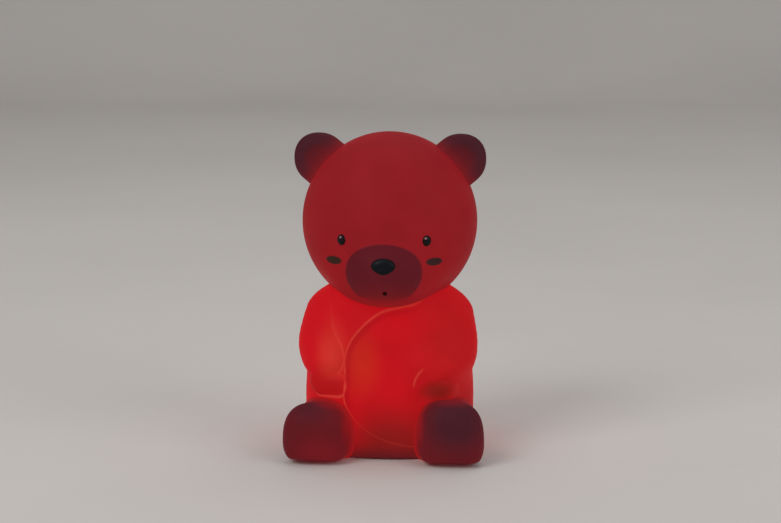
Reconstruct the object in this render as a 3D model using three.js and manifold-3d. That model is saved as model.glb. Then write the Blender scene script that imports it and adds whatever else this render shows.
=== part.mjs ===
// Seated bear night light: a hollow soft silicone bear pulled over a rechargeable light base.
// Millimetres, +Z up. The bear faces -Y, and the origin lies on the ground under the middle
// of the whole object's box.

import * as THREE from 'three';
import { mergeVertices } from 'three/addons/utils/BufferGeometryUtils.js';
import Module from 'manifold-3d';

const wasm = await Module();
wasm.setup();

// Clearances
const seam = 0.3;
const runGap = 0.4;
const overrun = 4;

// Head, whose lowest point lies at its seat
const headSeat = 66;
const headHalfWidth = 41.3;
const headHalfDepth = 38;
const headHalfHeight = 42;
const headPower = 2;
const headWall = 3.2;

// Ears
const earRadius = 11.8;
const earHalfThickness = 5.4;
const earSpreadShare = 0.811;
const earRiseShare = 0.7;
const earSetback = 1;
const earPower = 2.2;
const earDishDepth = 1.6;
const earRim = 3.6;

// Muzzle, nose and eyes
const muzzleHalfWidth = 18;
const muzzleHalfHeight = 15.6;
const muzzleHalfDepth = 14;
const muzzleSink = 7.4;
const muzzleRise = 23.2;
const jawHalfWidth = 27;
const jawHalfDepth = 12;
const jawHalfHeight = 14.4;
const jawSetback = 6.3;
const jawDrop = 3.9;
const noseHalfWidth = 5.4;
const noseHalfHeight = 3.7;
const noseHalfDepth = 2.4;
const noseRise = 3;
const noseSink = 1.4;
const noseTaperShare = 0.42;
const eyeHalfWidth = 2;
const eyeHalfHeight = 2.6;
const eyeHalfDepth = 1.3;
const eyeSpreadShare = 0.4746;
const eyeDropShare = 0.1;

// Torso, as height, half-width and half-depth shares from the bottom row to the top row
const torsoSideSwell = 5.4;
const torsoLift = 0.8;
const neckOverlap = 13.8;
const torsoPower = 2.25;
const torsoWall = 3;
const torsoRowShares = [
  [0, 0.955, 0.95],
  [0.05, 0.985, 0.98],
  [0.19, 1, 1],
  [0.39, 0.995, 1],
  [0.557, 0.962, 0.965],
  [0.696, 0.89, 0.88],
  [0.823, 0.79, 0.78],
  [0.924, 0.72, 0.7],
  [1, 0.62, 0.62],
];

// Wrap-over front panel: its edge as shares of the torso's half-width and height
const wrapThickness = 1.1;
const wrapEdgeShares = [
  [0.6, 1],
  [0.46, 0.95],
  [0.33, 0.908],
  [0.17, 0.892],
  [-0.03, 0.867],
  [-0.17, 0.822],
  [-0.29, 0.765],
  [-0.39, 0.7],
  [-0.45, 0.63],
  [-0.465, 0.56],
  [-0.462, 0.48],
  [-0.475, 0.41],
  [-0.47, 0.34],
  [-0.42, 0.28],
  [-0.3, 0.205],
  [-0.12, 0.14],
  [0.12, 0.09],
  [0.4, 0.065],
];
const wrapSideShare = 0.72;

// Arms: spine points as shares of the torso's half-width, half-depth and height, then of the radius
const armRadius = 11.2;
const rightArmShares = [
  [0.673, -0.06, 0.775, 1.2],
  [0.777, -0.35, 0.635, 1],
  [0.69, -0.61, 0.54, 0.98],
  [0.655, -0.655, 0.449, 0.9],
];
const leftArmShares = [
  [0.673, -0.06, 0.775, 1.2],
  [0.777, -0.35, 0.635, 1],
  [0.689, -0.623, 0.54, 0.98],
  [0.627, -0.687, 0.452, 0.9],
];
const pawRadius = 7.5;
const rightPawShares = [0.65, -0.693, 0.433];
const leftPawShares = [0.622, -0.719, 0.428];

// Legs, with the soles facing forwards
const legReach = 48;
const legRoot = 4;
const legHalfWidth = 15.2;
const legSpread = 31.5;
const hipSpread = 23;
const legCentreHeight = 10.4;
const legTopHalf = 18;
const legHipShare = 0.81;
const legRisePower = 3;
const legBottomHalf = 12.6;
const legPower = 2.5;
const soleRounding = 9;

// Neck grommet, which ties the head skin to the torso skin
const neckHoleRadius = 14;
const collarWall = 2.2;
const collarFlangeRadius = 17.2;
const collarFlangeThickness = 1.6;
const lockRingRadius = 18;
const lockRingThickness = 2;

// Skin lip round the opening in the underside, gripped between cover and housing
const lipInset = 1;
const lipThickness = 2.4;

// Base cover and anti-slip ring
const coverThickness = 2;
const hubWall = 2;
const gripMargin = 0.5;
const gripWidth = 9;
const gripInset = 0.6;

// Base housing
const deckRim = 6;
const housingWall = 1.6;
const housingFlangeWidth = 3.6;
const housingFlangeThickness = 1.8;
const postRadius = 2.8;
const postAngles = [-90, 50, 130];

// Screws
const screwHeadRadius = 2.2;
const screwHeadHeight = 1.4;
const screwShankRadius = 1.1;
const coverScrewLength = 9;
const boardScrewLength = 6.5;

// Main board and what it carries
const boardThickness = 1.6;
const boardGap = 0.35;
const boardSetback = 1;
const boardPostRadius = 2.5;
const chipSize = [7, 5, 1.2];
const chipPlaceShares = [0.49, -0.27];
const plugSize = [4, 6, 3.2];
const plugMargin = 1.5;

// Battery pouch on its foam pad, under the housing's deck
const cellThickness = 6;
const cellMargin = 1.3;
const cellSetback = 6;
const cellLift = 2.6;
const foamThickness = 1;
const foamMargin = 3;

// Leads
const leadRadius = 0.9;
const leadSides = 8;

// Light: round board with its lamps under a frosted dome
const ledBoardThickness = 1.4;
const ledBoardRim = 6.4;
const ledCount = 6;
const ledSize = [5, 5, 1.5];
const ledGap = 4.6;
const ledScrewInset = 3.1;
const ledScrewAngles = [30, 210];
const ledLeadGap = 1.6;
const domeGap = 3.5;
const domeWall = 1.5;
const domeHeadroom = 11;
const domeShoulderShare = 0.3;

// Charging port at the back
const portRise = 6.2;
const portHalfWidth = 7.6;
const portHalfHeight = 4.6;
const plugDepth = 2.4;
const plugSwingGap = 0.9;
const socketSize = [9, 7.3, 3.2];
const socketWall = 0.35;
const tongueSize = [6.6, 4.6, 0.7];
const usbBoardSize = [12, 8.4, 1.2];
const tunnelWall = 1.4;
const tunnelSetback = 0.6;

// Mode button in the underside and the switch it works
const buttonRadius = 6;
const buttonFlange = 1;
const buttonFlangeThickness = 1;
const buttonInset = 0.5;
const buttonStemRadius = 1.8;
const buttonStemHeight = 0.5;
const buttonTravel = 0.6;
const switchSize = [6.2, 6.2, 3];
const plungerRadius = 1.7;
const plungerProud = 0.7;
const plungerRoot = 0.8;

// Facets
const roundSides = 28;
const smallSides = 16;
const beadSides = 12;
const boreSides = 12;
const formRows = 16;
const limbRows = 10;
const beadRows = 7;
const domeRows = 5;

const vec = (x, y, z) => new THREE.Vector3(x, y, z);

// Places on the head that follow from the sizes above
const axisY = (legReach - headHalfDepth) / 2;
const headHeight = headSeat + headHalfHeight;
const earSpread = earSpreadShare * headHalfWidth;
const earHeight = headHeight + earRiseShare * headHalfHeight;
const earDishRadius = earRadius - earRim;
const muzzleForward = headHalfDepth - muzzleSink;
const muzzleHeight = headSeat + muzzleRise;
const collarTubeRadius = neckHoleRadius - seam;

// Levels of the base from the ground up
const coverBottom = torsoLift;
const coverTop = coverBottom + coverThickness;
const lipBottom = coverTop + seam;
const lipTop = lipBottom + lipThickness;
const housingBottom = lipTop + seam;
const portHeight = housingBottom + portRise;
const gripCeiling = coverBottom + gripInset;
const buttonFlangeBottom = coverTop + seam;
const buttonFlangeTop = buttonFlangeBottom + buttonFlangeThickness;
const plungerBottom = buttonFlangeTop + buttonStemHeight + seam;
const switchBottom = plungerBottom + plungerProud;
const boardHeight = switchBottom + switchSize[2];
const boardTop = boardHeight + boardThickness;
const cellBottom = boardTop + cellLift;
const foamBottom = cellBottom + cellThickness;
const deckBottom = foamBottom + foamThickness;
const deckTop = deckBottom + housingWall;
const ledBoardTop = deckTop + ledBoardThickness;

// Radii of the base from the lamps outwards
const ledCircle = ledSize[0] + ledGap;
const ledBoardRadius = ledCircle + ledBoardRim;
const ledScrewCircle = ledBoardRadius - ledScrewInset;
const domeRadius = ledBoardRadius + domeGap + domeWall;
const housingRadius = domeRadius + deckRim;
const housingFlangeRadius = housingRadius + housingFlangeWidth;
const coverRadius = housingFlangeRadius;
const lipHoleRadius = housingRadius - lipInset;
const gripOuterRadius = lipHoleRadius - gripMargin;
const gripInnerRadius = gripOuterRadius - gripWidth;
const postCircle = (gripInnerRadius + gripOuterRadius) / 2;

// Sizes of the cell and the board, which fit between the screw posts and the housing's wall
const postFront = postCircle * Math.sin(THREE.MathUtils.degToRad(postAngles[1])) - postRadius;
const cellDepth = 2 * (postFront - cellMargin);
const boardDepth = cellDepth - 2 * boardSetback;
const boardCorner = housingRadius - housingWall - boardGap;
const boardWidth = 2 * Math.sqrt(boardCorner ** 2 - (boardDepth / 2) ** 2);
const boardPostSpread = boardWidth / 2 - boardPostRadius;
const cellWidth = boardWidth - 2 * cellSetback;
const plugX = plugSize[0] / 2 + plugMargin - boardWidth / 2;
const plugY = axisY + boardDepth / 2 - plugMargin - plugSize[1] / 2;
const ledLeadY = axisY + cellDepth / 2 + ledLeadGap;

// The torso stands just clear of the housing's flange at the back.
const torsoHeight = headSeat + neckOverlap - torsoLift;
const torsoRows = new THREE.CatmullRomCurve3(torsoRowShares.map((row) => vec(row[1], row[2], row[0])));
const torsoHalfDepth = (housingFlangeRadius + 2 * seam + torsoWall) / torsoDepthShare(lipTop);
const torsoHalfWidth = torsoHalfDepth + torsoSideSwell;
const portBack = axisY + torsoHalfDepth * torsoDepthShare(portHeight);

// Closed meshes and solids

// A closed skin through rings of equally many points, closed by a fan to a point at each end.
// Seen from the last ring, each ring runs anticlockwise.
function skinThrough(rings, start, end) {
  const sides = rings[0].length;
  const points = [...rings.flat(), start, end];
  const startIndex = points.length - 2;
  const endIndex = points.length - 1;
  const lastRow = (rings.length - 1) * sides;
  const faces = [];
  for (let i = 0; i < sides; i += 1) {
    const j = (i + 1) % sides;
    for (let row = 0; row + sides < startIndex; row += sides) {
      faces.push(row + i, row + j, row + sides + j);
      faces.push(row + i, row + sides + j, row + sides + i);
    }
    faces.push(startIndex, j, i, endIndex, lastRow + i, lastRow + j);
  }
  const geometry = new THREE.BufferGeometry().setFromPoints(points);
  geometry.setIndex(faces);
  return geometry;
}

function middleOf(ring) {
  const sum = ring.reduce((total, point) => total.add(point), vec(0, 0, 0));
  return sum.divideScalar(ring.length);
}

function solid(geometry) {
  const bare = geometry.clone();
  bare.deleteAttribute('normal');
  bare.deleteAttribute('uv');
  const merged = mergeVertices(bare);
  const mesh = new wasm.Mesh({
    numProp: 3,
    vertProperties: new Float32Array(merged.attributes.position.array),
    triVerts: new Uint32Array(merged.index.array),
  });
  return new wasm.Manifold(mesh);
}

function toGeometry(body) {
  const mesh = body.getMesh();
  const geometry = new THREE.BufferGeometry();
  geometry.setAttribute('position', new THREE.BufferAttribute(new Float32Array(mesh.vertProperties), 3));
  geometry.setIndex(new THREE.BufferAttribute(new Uint32Array(mesh.triVerts), 1));
  return geometry;
}

// The biggest of the separate bodies that a cut leaves.
function largest(body) {
  const bodies = body.decompose();
  return bodies.reduce((best, next) => (next.volume() > best.volume() ? next : best));
}

function cutAll(body, cutters) {
  return cutters.reduce((rest, cutter) => rest.subtract(cutter), body);
}

// Plain solids

// A round bar standing on its base height.
function bar(radius, x, y, base, top, sides = boreSides) {
  const geometry = new THREE.CylinderGeometry(radius, radius, top - base, sides);
  geometry.rotateX(Math.PI / 2);
  geometry.translate(x, y, (base + top) / 2);
  return solid(geometry);
}

// A box between two levels, centred on x and y.
function block(width, depth, x, y, base, top) {
  const geometry = new THREE.BoxGeometry(width, depth, top - base);
  geometry.translate(x, y, (base + top) / 2);
  return solid(geometry);
}

// A body turned about the upright axis of the base, from [radius, height] corners.
function turned(corners, sides = roundSides) {
  const outline = corners.map(([radius, height]) => new THREE.Vector2(radius, height));
  const geometry = new THREE.LatheGeometry(outline, sides);
  geometry.rotateX(Math.PI / 2);
  geometry.translate(0, axisY, 0);
  return solid(geometry);
}

function ring(inner, outer, base, top) {
  return turned([[inner, base], [outer, base], [outer, top], [inner, top], [inner, base]]);
}

// A round lead along a smooth route.
function lead(route, radius) {
  const path = new THREE.CatmullRomCurve3(route);
  const section = new THREE.Shape();
  section.absarc(0, 0, radius, 0, 2 * Math.PI);
  const geometry = new THREE.ExtrudeGeometry(section, {
    steps: Math.ceil(path.getLength() / (2 * radius)),
    curveSegments: leadSides,
    bevelEnabled: false,
    extrudePath: path,
  });
  return solid(geometry);
}

function onCircle(radius, degrees) {
  const angle = THREE.MathUtils.degToRad(degrees);
  return [radius * Math.cos(angle), axisY + radius * Math.sin(angle)];
}

// Soft forms

// The point at an angle of an oval whose sides fill out as the power rises.
function oval(halfA, halfB, angle, power) {
  const c = Math.cos(angle);
  const s = Math.sin(angle);
  const reach = (Math.abs(c / halfA) ** power + Math.abs(s / halfB) ** power) ** (-1 / power);
  return [reach * c, reach * s];
}

function angles(count) {
  return Array.from({ length: count }, (_, i) => (2 * Math.PI * i) / count);
}

// An egg-like form about its centre, upright, with its half sizes.
function ovoid(half, power, rows, sides, taperShare = 0) {
  const rings = [];
  for (let row = 1; row < rows; row += 1) {
    const [plan, level] = oval(1, 1, Math.PI * (row / rows - 1 / 2), power);
    const width = half.x * plan * (1 + taperShare * level);
    rings.push(angles(sides).map((angle) => {
      const [x, y] = oval(width, half.y * plan, angle, 2);
      return vec(x, y, level * half.z);
    }));
  }
  return skinThrough(rings, vec(0, 0, -half.z), vec(0, 0, half.z));
}

function headForm(grow) {
  const half = vec(headHalfWidth + grow, headHalfDepth + grow, headHalfHeight + grow);
  const geometry = ovoid(half, headPower, formRows, roundSides);
  geometry.translate(0, axisY, headHeight);
  return solid(geometry);
}

// Height of the underside of the head form at a distance from its axis.
function headUnderside(radius, halfAcross, grow) {
  const fall = (1 - (radius / (halfAcross + grow)) ** headPower) ** (1 / headPower);
  return headHeight - (headHalfHeight + grow) * fall;
}

function torsoRing(row, grow, sides) {
  const halfWidth = torsoHalfWidth * row.x + grow;
  const halfDepth = torsoHalfDepth * row.y + grow;
  return angles(sides).map((angle) => {
    const [x, y] = oval(halfWidth, halfDepth, angle, torsoPower);
    return vec(x, axisY + y, torsoLift + torsoHeight * row.z);
  });
}

function torsoForm(grow) {
  const rings = torsoRows.getPoints(formRows).map((row) => torsoRing(row, grow, roundSides));
  if (grow > 0) {
    rings.unshift(rings[0].map((point) => vec(point.x, point.y, -overrun)));
  }
  return solid(skinThrough(rings, middleOf(rings[0]), middleOf(rings.at(-1))));
}

// The torso's depth at a height, as a share of its greatest depth.
function torsoDepthShare(height) {
  const level = (height - torsoLift) / torsoHeight;
  return torsoRows.getPoints(formRows).find((point) => point.z >= level).y;
}

// A place on the torso given in shares; side is -1 for the bear's right hand at -X, 1 at +X.
function torsoPlace([x, y, z], side) {
  return vec(side * x * torsoHalfWidth, axisY + y * torsoHalfDepth, torsoLift + z * torsoHeight);
}

// A sleeve of round section along a bent spine, with a ball at the shoulder and a flat cuff.
function armForm(shares, side, grow) {
  const spine = new THREE.CatmullRomCurve3(shares.map((share) => torsoPlace(share, side)));
  const girth = new THREE.SplineCurve(shares.map((share, i) => new THREE.Vector2(i, share[3])));
  const shoulderRadius = armRadius * shares[0][3] + grow;
  const shoulderWay = spine.getTangent(0);
  const shoulder = [3, 2, 1].map((step) => {
    const angle = (Math.PI / 2) * (step / 4);
    const place = spine.getPoint(0).addScaledVector(shoulderWay, -shoulderRadius * Math.sin(angle));
    return [place, shoulderWay, shoulderRadius * Math.cos(angle)];
  });
  const stations = [];
  for (let i = 0; i < limbRows; i += 1) {
    const along = i / limbRows;
    const radius = armRadius * girth.getPoint(along).y + grow;
    stations.push([spine.getPoint(along), spine.getTangent(along), radius]);
  }
  const cuff = spine.getPoint(1).addScaledVector(spine.getTangent(1), grow);
  const rows = [...shoulder, ...stations, [cuff, spine.getTangent(1), armRadius * shares.at(-1)[3] + grow]];
  const rings = rows.map(([centre, tangent, radius]) => {
    const across = vec(1, 0, 0).cross(tangent).normalize();
    const upwards = tangent.clone().cross(across);
    return angles(smallSides).map((angle) => centre.clone()
      .addScaledVector(across, radius * Math.cos(angle))
      .addScaledVector(upwards, radius * Math.sin(angle)));
  });
  const start = spine.getPoint(0).addScaledVector(shoulderWay, -shoulderRadius);
  return solid(skinThrough(rings, start, cuff));
}

function pawForm(shares, side, grow) {
  const reach = pawRadius + grow;
  const geometry = ovoid(vec(reach, reach, reach), 2, limbRows, smallSides);
  const place = torsoPlace(shares, side);
  geometry.translate(place.x, place.y, place.z);
  return solid(geometry);
}

// A leg from the hip forwards and a little upwards, flat below, its sole rounded over at the front.
function legForm(side, grow) {
  const straight = legReach - soleRounding;
  const bends = [0, 1, 2, 3, 4, 5, 6].map((step) => Math.sin((Math.PI / 2) * (step / 6)));
  const runs = [0, 1 / 4, 1 / 2, 3 / 4].map((share) => [legRoot + share * (straight - legRoot), 0]);
  const stations = [...runs, ...bends.map((bend) => [straight + bend * (soleRounding + grow), bend])];
  const rings = stations.map(([reach, bend]) => {
    const shrink = 1 - (soleRounding / legHalfWidth) * (1 - Math.sqrt(1 - bend * bend));
    const run = Math.min(1, reach / straight);
    const centre = hipSpread + (legSpread - hipSpread) * run;
    const topHalf = legTopHalf * (legHipShare + (1 - legHipShare) * run ** legRisePower);
    return angles(smallSides * 2).map((angle) => {
      const halfHeight = Math.sin(angle) > 0 ? topHalf : legBottomHalf;
      const [x, z] = oval(legHalfWidth + grow, halfHeight + grow, angle, legPower);
      const height = Math.max(legCentreHeight + z * shrink, -grow);
      return vec(side * centre + x * shrink, axisY - reach, height);
    });
  });
  return solid(skinThrough(rings, middleOf(rings[0]), middleOf(rings.at(-1))));
}

function earForm(side, grow) {
  const half = vec(earRadius + grow, earHalfThickness + grow, earRadius + grow);
  const geometry = ovoid(half, earPower, limbRows, smallSides);
  geometry.translate(side * earSpread, axisY + earSetback, earHeight);
  return solid(geometry);
}

function earDish(side) {
  const geometry = ovoid(vec(earDishRadius, earDishDepth, earDishRadius), 2, beadRows, smallSides);
  geometry.translate(side * earSpread, axisY + earSetback - earHalfThickness, earHeight);
  return solid(geometry);
}

// The muzzle's egg, with a broad flat one behind and under it for the jaw.
function muzzleForm(grow) {
  const half = vec(muzzleHalfWidth + grow, muzzleHalfDepth + grow, muzzleHalfHeight + grow);
  const geometry = ovoid(half, 2, limbRows, smallSides * 2);
  geometry.translate(0, axisY - muzzleForward, muzzleHeight);
  const jawHalf = vec(jawHalfWidth + grow, jawHalfDepth + grow, jawHalfHeight + grow);
  const jaw = ovoid(jawHalf, 2, limbRows, smallSides * 2);
  jaw.translate(0, axisY - muzzleForward + jawSetback, muzzleHeight - jawDrop);
  return solid(geometry).add(solid(jaw));
}

function noseForm(grow) {
  const half = vec(noseHalfWidth + grow, noseHalfDepth + grow, noseHalfHeight + grow);
  const geometry = ovoid(half, 2, beadRows, smallSides, noseTaperShare / 2);
  const level = noseRise / muzzleHalfHeight;
  const front = muzzleForward + muzzleHalfDepth * Math.sqrt(1 - level * level);
  geometry.translate(0, axisY - front + noseSink, muzzleHeight + noseRise);
  return solid(geometry);
}

// An eye set half its depth into the head, square to the head's surface.
function eyeForm(side, grow) {
  const half = vec(eyeHalfWidth + grow, eyeHalfDepth + grow, eyeHalfHeight + grow);
  const geometry = ovoid(half, 2, beadRows, beadSides);
  const across = eyeSpreadShare;
  const down = eyeDropShare;
  const front = headHalfDepth * Math.sqrt(1 - across * across - down * down);
  geometry.rotateZ(Math.atan2(across / headHalfWidth, front / headHalfDepth ** 2) * side);
  geometry.translate(side * across * headHalfWidth, axisY - front, headHeight - down * headHalfHeight);
  return solid(geometry);
}

// The prism in front of the torso whose outline is the wrap-over edge.
function wrapPrism() {
  const edge = new THREE.SplineCurve(wrapEdgeShares.map(([x, z]) => new THREE.Vector2(
    x * torsoHalfWidth,
    torsoLift + z * torsoHeight,
  )));
  const outline = new THREE.Shape(edge.getPoints(2 * wrapEdgeShares.length));
  outline.lineTo(wrapSideShare * torsoHalfWidth, torsoLift + wrapEdgeShares.at(-1)[1] * torsoHeight);
  outline.lineTo(wrapSideShare * torsoHalfWidth, torsoLift + wrapEdgeShares[0][1] * torsoHeight);
  const depth = torsoHalfDepth + overrun;
  const geometry = new THREE.ExtrudeGeometry(outline, { depth, bevelEnabled: false });
  geometry.rotateX(Math.PI / 2);
  geometry.translate(0, axisY, 0);
  return solid(geometry);
}

// Skin pieces

const headCutter = headForm(seam);
const torsoCutter = torsoForm(seam);
const muzzleCutter = muzzleForm(seam);
const eyeCutters = [-1, 1].map((side) => eyeForm(side, seam));
const neckCutter = bar(neckHoleRadius, 0, axisY, torsoLift, headHeight, roundSides);

function headSkin() {
  return cutAll(headForm(0), [headForm(-headWall), neckCutter, ...eyeCutters]);
}

function ear(side) {
  return largest(cutAll(earForm(side, 0), [headCutter, earDish(side)]));
}

function muzzle() {
  return largest(cutAll(muzzleForm(0), [headCutter, torsoCutter, noseForm(seam)]));
}

function portCutter() {
  const depth = torsoHalfDepth + overrun - (portBack - axisY - torsoWall - overrun);
  const middle = axisY + torsoHalfDepth + overrun - depth / 2;
  return block(2 * portHalfWidth, depth, 0, middle, portHeight - portHalfHeight, portHeight + portHalfHeight);
}

function torsoSkin() {
  const lipSlab = block(4 * torsoHalfWidth, 4 * torsoHalfDepth, 0, axisY, -overrun, lipTop);
  const cavity = cutAll(torsoForm(-torsoWall), [headForm(seam + torsoWall), lipSlab]);
  const lipHole = bar(lipHoleRadius, 0, axisY, -overrun, lipTop + overrun, roundSides);
  const coverSeat = bar(coverRadius + seam, 0, axisY, -overrun, lipBottom, roundSides);
  return cutAll(torsoForm(0), [headCutter, cavity, neckCutter, lipHole, coverSeat, portCutter()]);
}

const limbs = [-1, 1].map((side) => {
  const armShares = side < 0 ? rightArmShares : leftArmShares;
  const pawShares = side < 0 ? rightPawShares : leftPawShares;
  return {
    side,
    arm: armForm(armShares, side, 0),
    armCutter: armForm(armShares, side, seam),
    paw: pawForm(pawShares, side, 0),
    pawCutter: pawForm(pawShares, side, seam),
    leg: legForm(side, 0),
    legCutter: legForm(side, seam),
  };
});

function wrapPanel() {
  const layer = torsoForm(seam + wrapThickness).subtract(torsoCutter).intersect(wrapPrism());
  const cutters = limbs.flatMap((limb) => [limb.armCutter, limb.pawCutter, limb.legCutter]);
  const floor = block(4 * torsoHalfWidth, 4 * torsoHalfDepth, 0, axisY, -overrun, torsoLift);
  return largest(cutAll(layer, [headCutter, muzzleCutter, floor, ...cutters]));
}

function arm(limb) {
  return largest(cutAll(limb.arm, [torsoCutter, headCutter, muzzleCutter, limb.legCutter]));
}

function paw(limb) {
  return largest(cutAll(limb.paw, [limb.armCutter, torsoCutter, limb.legCutter]));
}

function leg(limb) {
  return largest(limb.leg.subtract(torsoCutter));
}

// Neck grommet

const collarSeat = headUnderside(collarFlangeRadius, headHalfDepth, -headWall) + seam;
const lockSeat = headUnderside(neckHoleRadius, headHalfWidth, seam + torsoWall) - seam;
const lockBottom = lockSeat - lockRingThickness;

function neckCollar() {
  const bore = collarTubeRadius - collarWall;
  const top = collarSeat + collarFlangeThickness;
  return turned([
    [bore, lockBottom],
    [collarTubeRadius, lockBottom],
    [collarTubeRadius, collarSeat],
    [collarFlangeRadius, collarSeat],
    [collarFlangeRadius, top],
    [bore, top],
    [bore, lockBottom],
  ]);
}

function neckLockRing() {
  return ring(collarTubeRadius + seam, lockRingRadius, lockBottom, lockSeat);
}

// Screws: the head's underside lies at the seat and the shank runs upwards or downwards

function screw(x, y, seat, length, way) {
  const headEnd = seat - way * screwHeadHeight;
  const tip = seat + way * length;
  const head = bar(screwHeadRadius, x, y, Math.min(seat, headEnd), Math.max(seat, headEnd));
  const shank = bar(screwShankRadius, x, y, Math.min(headEnd, tip), Math.max(headEnd, tip));
  return head.add(shank);
}

const screwHole = screwShankRadius + seam;
const coverPosts = postAngles.map((degrees) => onCircle(postCircle, degrees));
const boardPosts = [-1, 1].map((side) => [side * boardPostSpread, axisY]);
const ledScrewPlaces = ledScrewAngles.map((degrees) => onCircle(ledScrewCircle, degrees));
const headPocketTop = gripCeiling + seam + screwHeadHeight + seam;
const coverScrewSeat = headPocketTop - seam;

// Underside

function antiSlipRing() {
  return ring(gripInnerRadius, gripOuterRadius, 0, gripCeiling);
}

function baseCover() {
  const grooveTop = gripCeiling + seam;
  const disc = bar(coverRadius, 0, axisY, coverBottom, coverTop, roundSides);
  const hub = ring(lipHoleRadius - seam - hubWall, lipHoleRadius - seam, coverBottom, lipTop);
  const groove = ring(gripInnerRadius - seam, gripOuterRadius + seam, -overrun, grooveTop);
  const bosses = coverPosts.map(([x, y]) => bar(postRadius + seam, x, y, coverTop - seam, lipTop));
  const pockets = coverPosts.map(([x, y]) => bar(screwHeadRadius + seam, x, y, -overrun, headPocketTop));
  const holes = coverPosts.map(([x, y]) => bar(screwHole, x, y, -overrun, lipTop + overrun));
  const buttonHole = bar(buttonRadius + runGap, 0, axisY, -overrun, coverTop + overrun, roundSides);
  const whole = bosses.reduce((body, boss) => body.add(boss), disc.add(hub));
  return cutAll(whole, [groove, buttonHole, ...pockets, ...holes]);
}

function modeButton() {
  const bottom = coverBottom + buttonInset;
  const flangeRadius = buttonRadius + buttonFlange;
  const stemTop = plungerBottom - seam;
  return turned([
    [0, bottom],
    [buttonRadius, bottom],
    [buttonRadius, buttonFlangeBottom],
    [flangeRadius, buttonFlangeBottom],
    [flangeRadius, buttonFlangeTop],
    [buttonStemRadius, buttonFlangeTop],
    [buttonStemRadius, stemTop],
    [0, stemTop],
  ]);
}

// Housing

const tunnelEnd = portBack - torsoWall - tunnelSetback;
const socketBase = portHeight - socketSize[2] / 2;
const usbBoardBottom = socketBase - usbBoardSize[2];
const tunnelHalfWidth = usbBoardSize[0] / 2 + seam;
const tunnelTop = socketBase + socketSize[2] + seam;

function baseHousing() {
  const shell = turned([
    [0, deckBottom],
    [housingRadius - housingWall, deckBottom],
    [housingRadius - housingWall, housingBottom],
    [housingFlangeRadius, housingBottom],
    [housingFlangeRadius, housingBottom + housingFlangeThickness],
    [housingRadius, housingBottom + housingFlangeThickness],
    [housingRadius, deckTop],
    [0, deckTop],
  ]);
  const tunnelStart = axisY + housingRadius - 2 * housingWall;
  const tunnelLength = tunnelEnd - tunnelStart;
  const tunnelMiddle = (tunnelEnd + tunnelStart) / 2;
  const tunnel = block(
    2 * (tunnelHalfWidth + tunnelWall),
    tunnelLength,
    0,
    tunnelMiddle,
    usbBoardBottom - tunnelWall,
    tunnelTop + tunnelWall,
  );
  const bore = block(2 * tunnelHalfWidth, tunnelLength + overrun, 0, tunnelMiddle, usbBoardBottom, tunnelTop);
  const inside = bar(housingRadius - housingWall, 0, axisY, housingBottom, deckBottom, roundSides);
  const posts = coverPosts.map(([x, y]) => bar(postRadius, x, y, housingBottom, deckTop - seam));
  const boardBosses = boardPosts.map(([x, y]) => bar(boardPostRadius, x, y, boardTop, deckTop - seam));
  const coverHoles = coverPosts.map(([x, y]) => (
    bar(screwHole, x, y, -overrun, coverScrewSeat + coverScrewLength + seam)
  ));
  const boardHoles = boardPosts.map(([x, y]) => (
    bar(screwHole, x, y, -overrun, boardHeight + boardScrewLength + seam)
  ));
  const ledHoles = ledScrewPlaces.map(([x, y]) => bar(screwHole, x, y, deckBottom - seam, deckTop + overrun));
  const leadHole = bar(leadRadius + seam, 0, ledLeadY, deckBottom - seam, deckTop + overrun);
  const fitted = tunnel.subtract(inside).intersect(torsoForm(-torsoWall - seam));
  const cased = shell.add(fitted);
  const filled = [...posts, ...boardBosses].reduce((body, post) => body.add(post), cased);
  return cutAll(filled, [bore, ...coverHoles, ...boardHoles, ...ledHoles, leadHole]);
}

// Board, battery and leads

function mainBoard() {
  const plate = block(boardWidth, boardDepth, 0, axisY, boardHeight, boardTop);
  return cutAll(plate, boardPosts.map(([x, y]) => bar(screwHole, x, y, -overrun, deckTop)));
}

function slab(size, x, y, base) {
  return block(size[0], size[1], x, y, base, base + size[2]);
}

function controlChip() {
  const [across, along] = chipPlaceShares;
  return slab(chipSize, across * (boardWidth / 2), axisY + along * (boardDepth / 2), boardTop);
}

function foamPad() {
  return slab([cellWidth - 2 * foamMargin, cellDepth - 2 * foamMargin, foamThickness], 0, axisY, foamBottom);
}

function switchBody() {
  const bore = bar(plungerRadius + seam, 0, axisY, -overrun, switchBottom + plungerRoot + buttonTravel + seam);
  return slab(switchSize, 0, axisY, switchBottom).subtract(bore);
}

function switchPlunger() {
  return bar(plungerRadius, 0, axisY, plungerBottom, switchBottom + plungerRoot);
}

function batteryLead() {
  const top = boardTop + plugSize[2] + seam;
  const cellSide = -cellWidth / 2 - seam;
  const exit = cellBottom + cellThickness / 2 + leadRadius;
  return lead([
    vec(cellSide, plugY + leadRadius, exit),
    vec(cellSide - leadRadius / 2, plugY + leadRadius, exit),
    vec(plugX, plugY, (exit + top) / 2),
    vec(plugX, plugY, top),
  ], leadRadius);
}

function ledLead() {
  const edge = axisY + boardDepth / 2 + seam;
  const level = boardHeight + boardThickness / 2;
  return lead([
    vec(0, edge, level),
    vec(0, (edge + ledLeadY) / 2, level),
    vec(0, ledLeadY, level + 2 * leadRadius),
    vec(0, ledLeadY, (level + ledBoardTop) / 2),
    vec(0, ledLeadY, ledBoardTop + leadRadius),
  ], leadRadius);
}

const usbBoardFront = tunnelEnd - seam - usbBoardSize[1];

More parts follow.
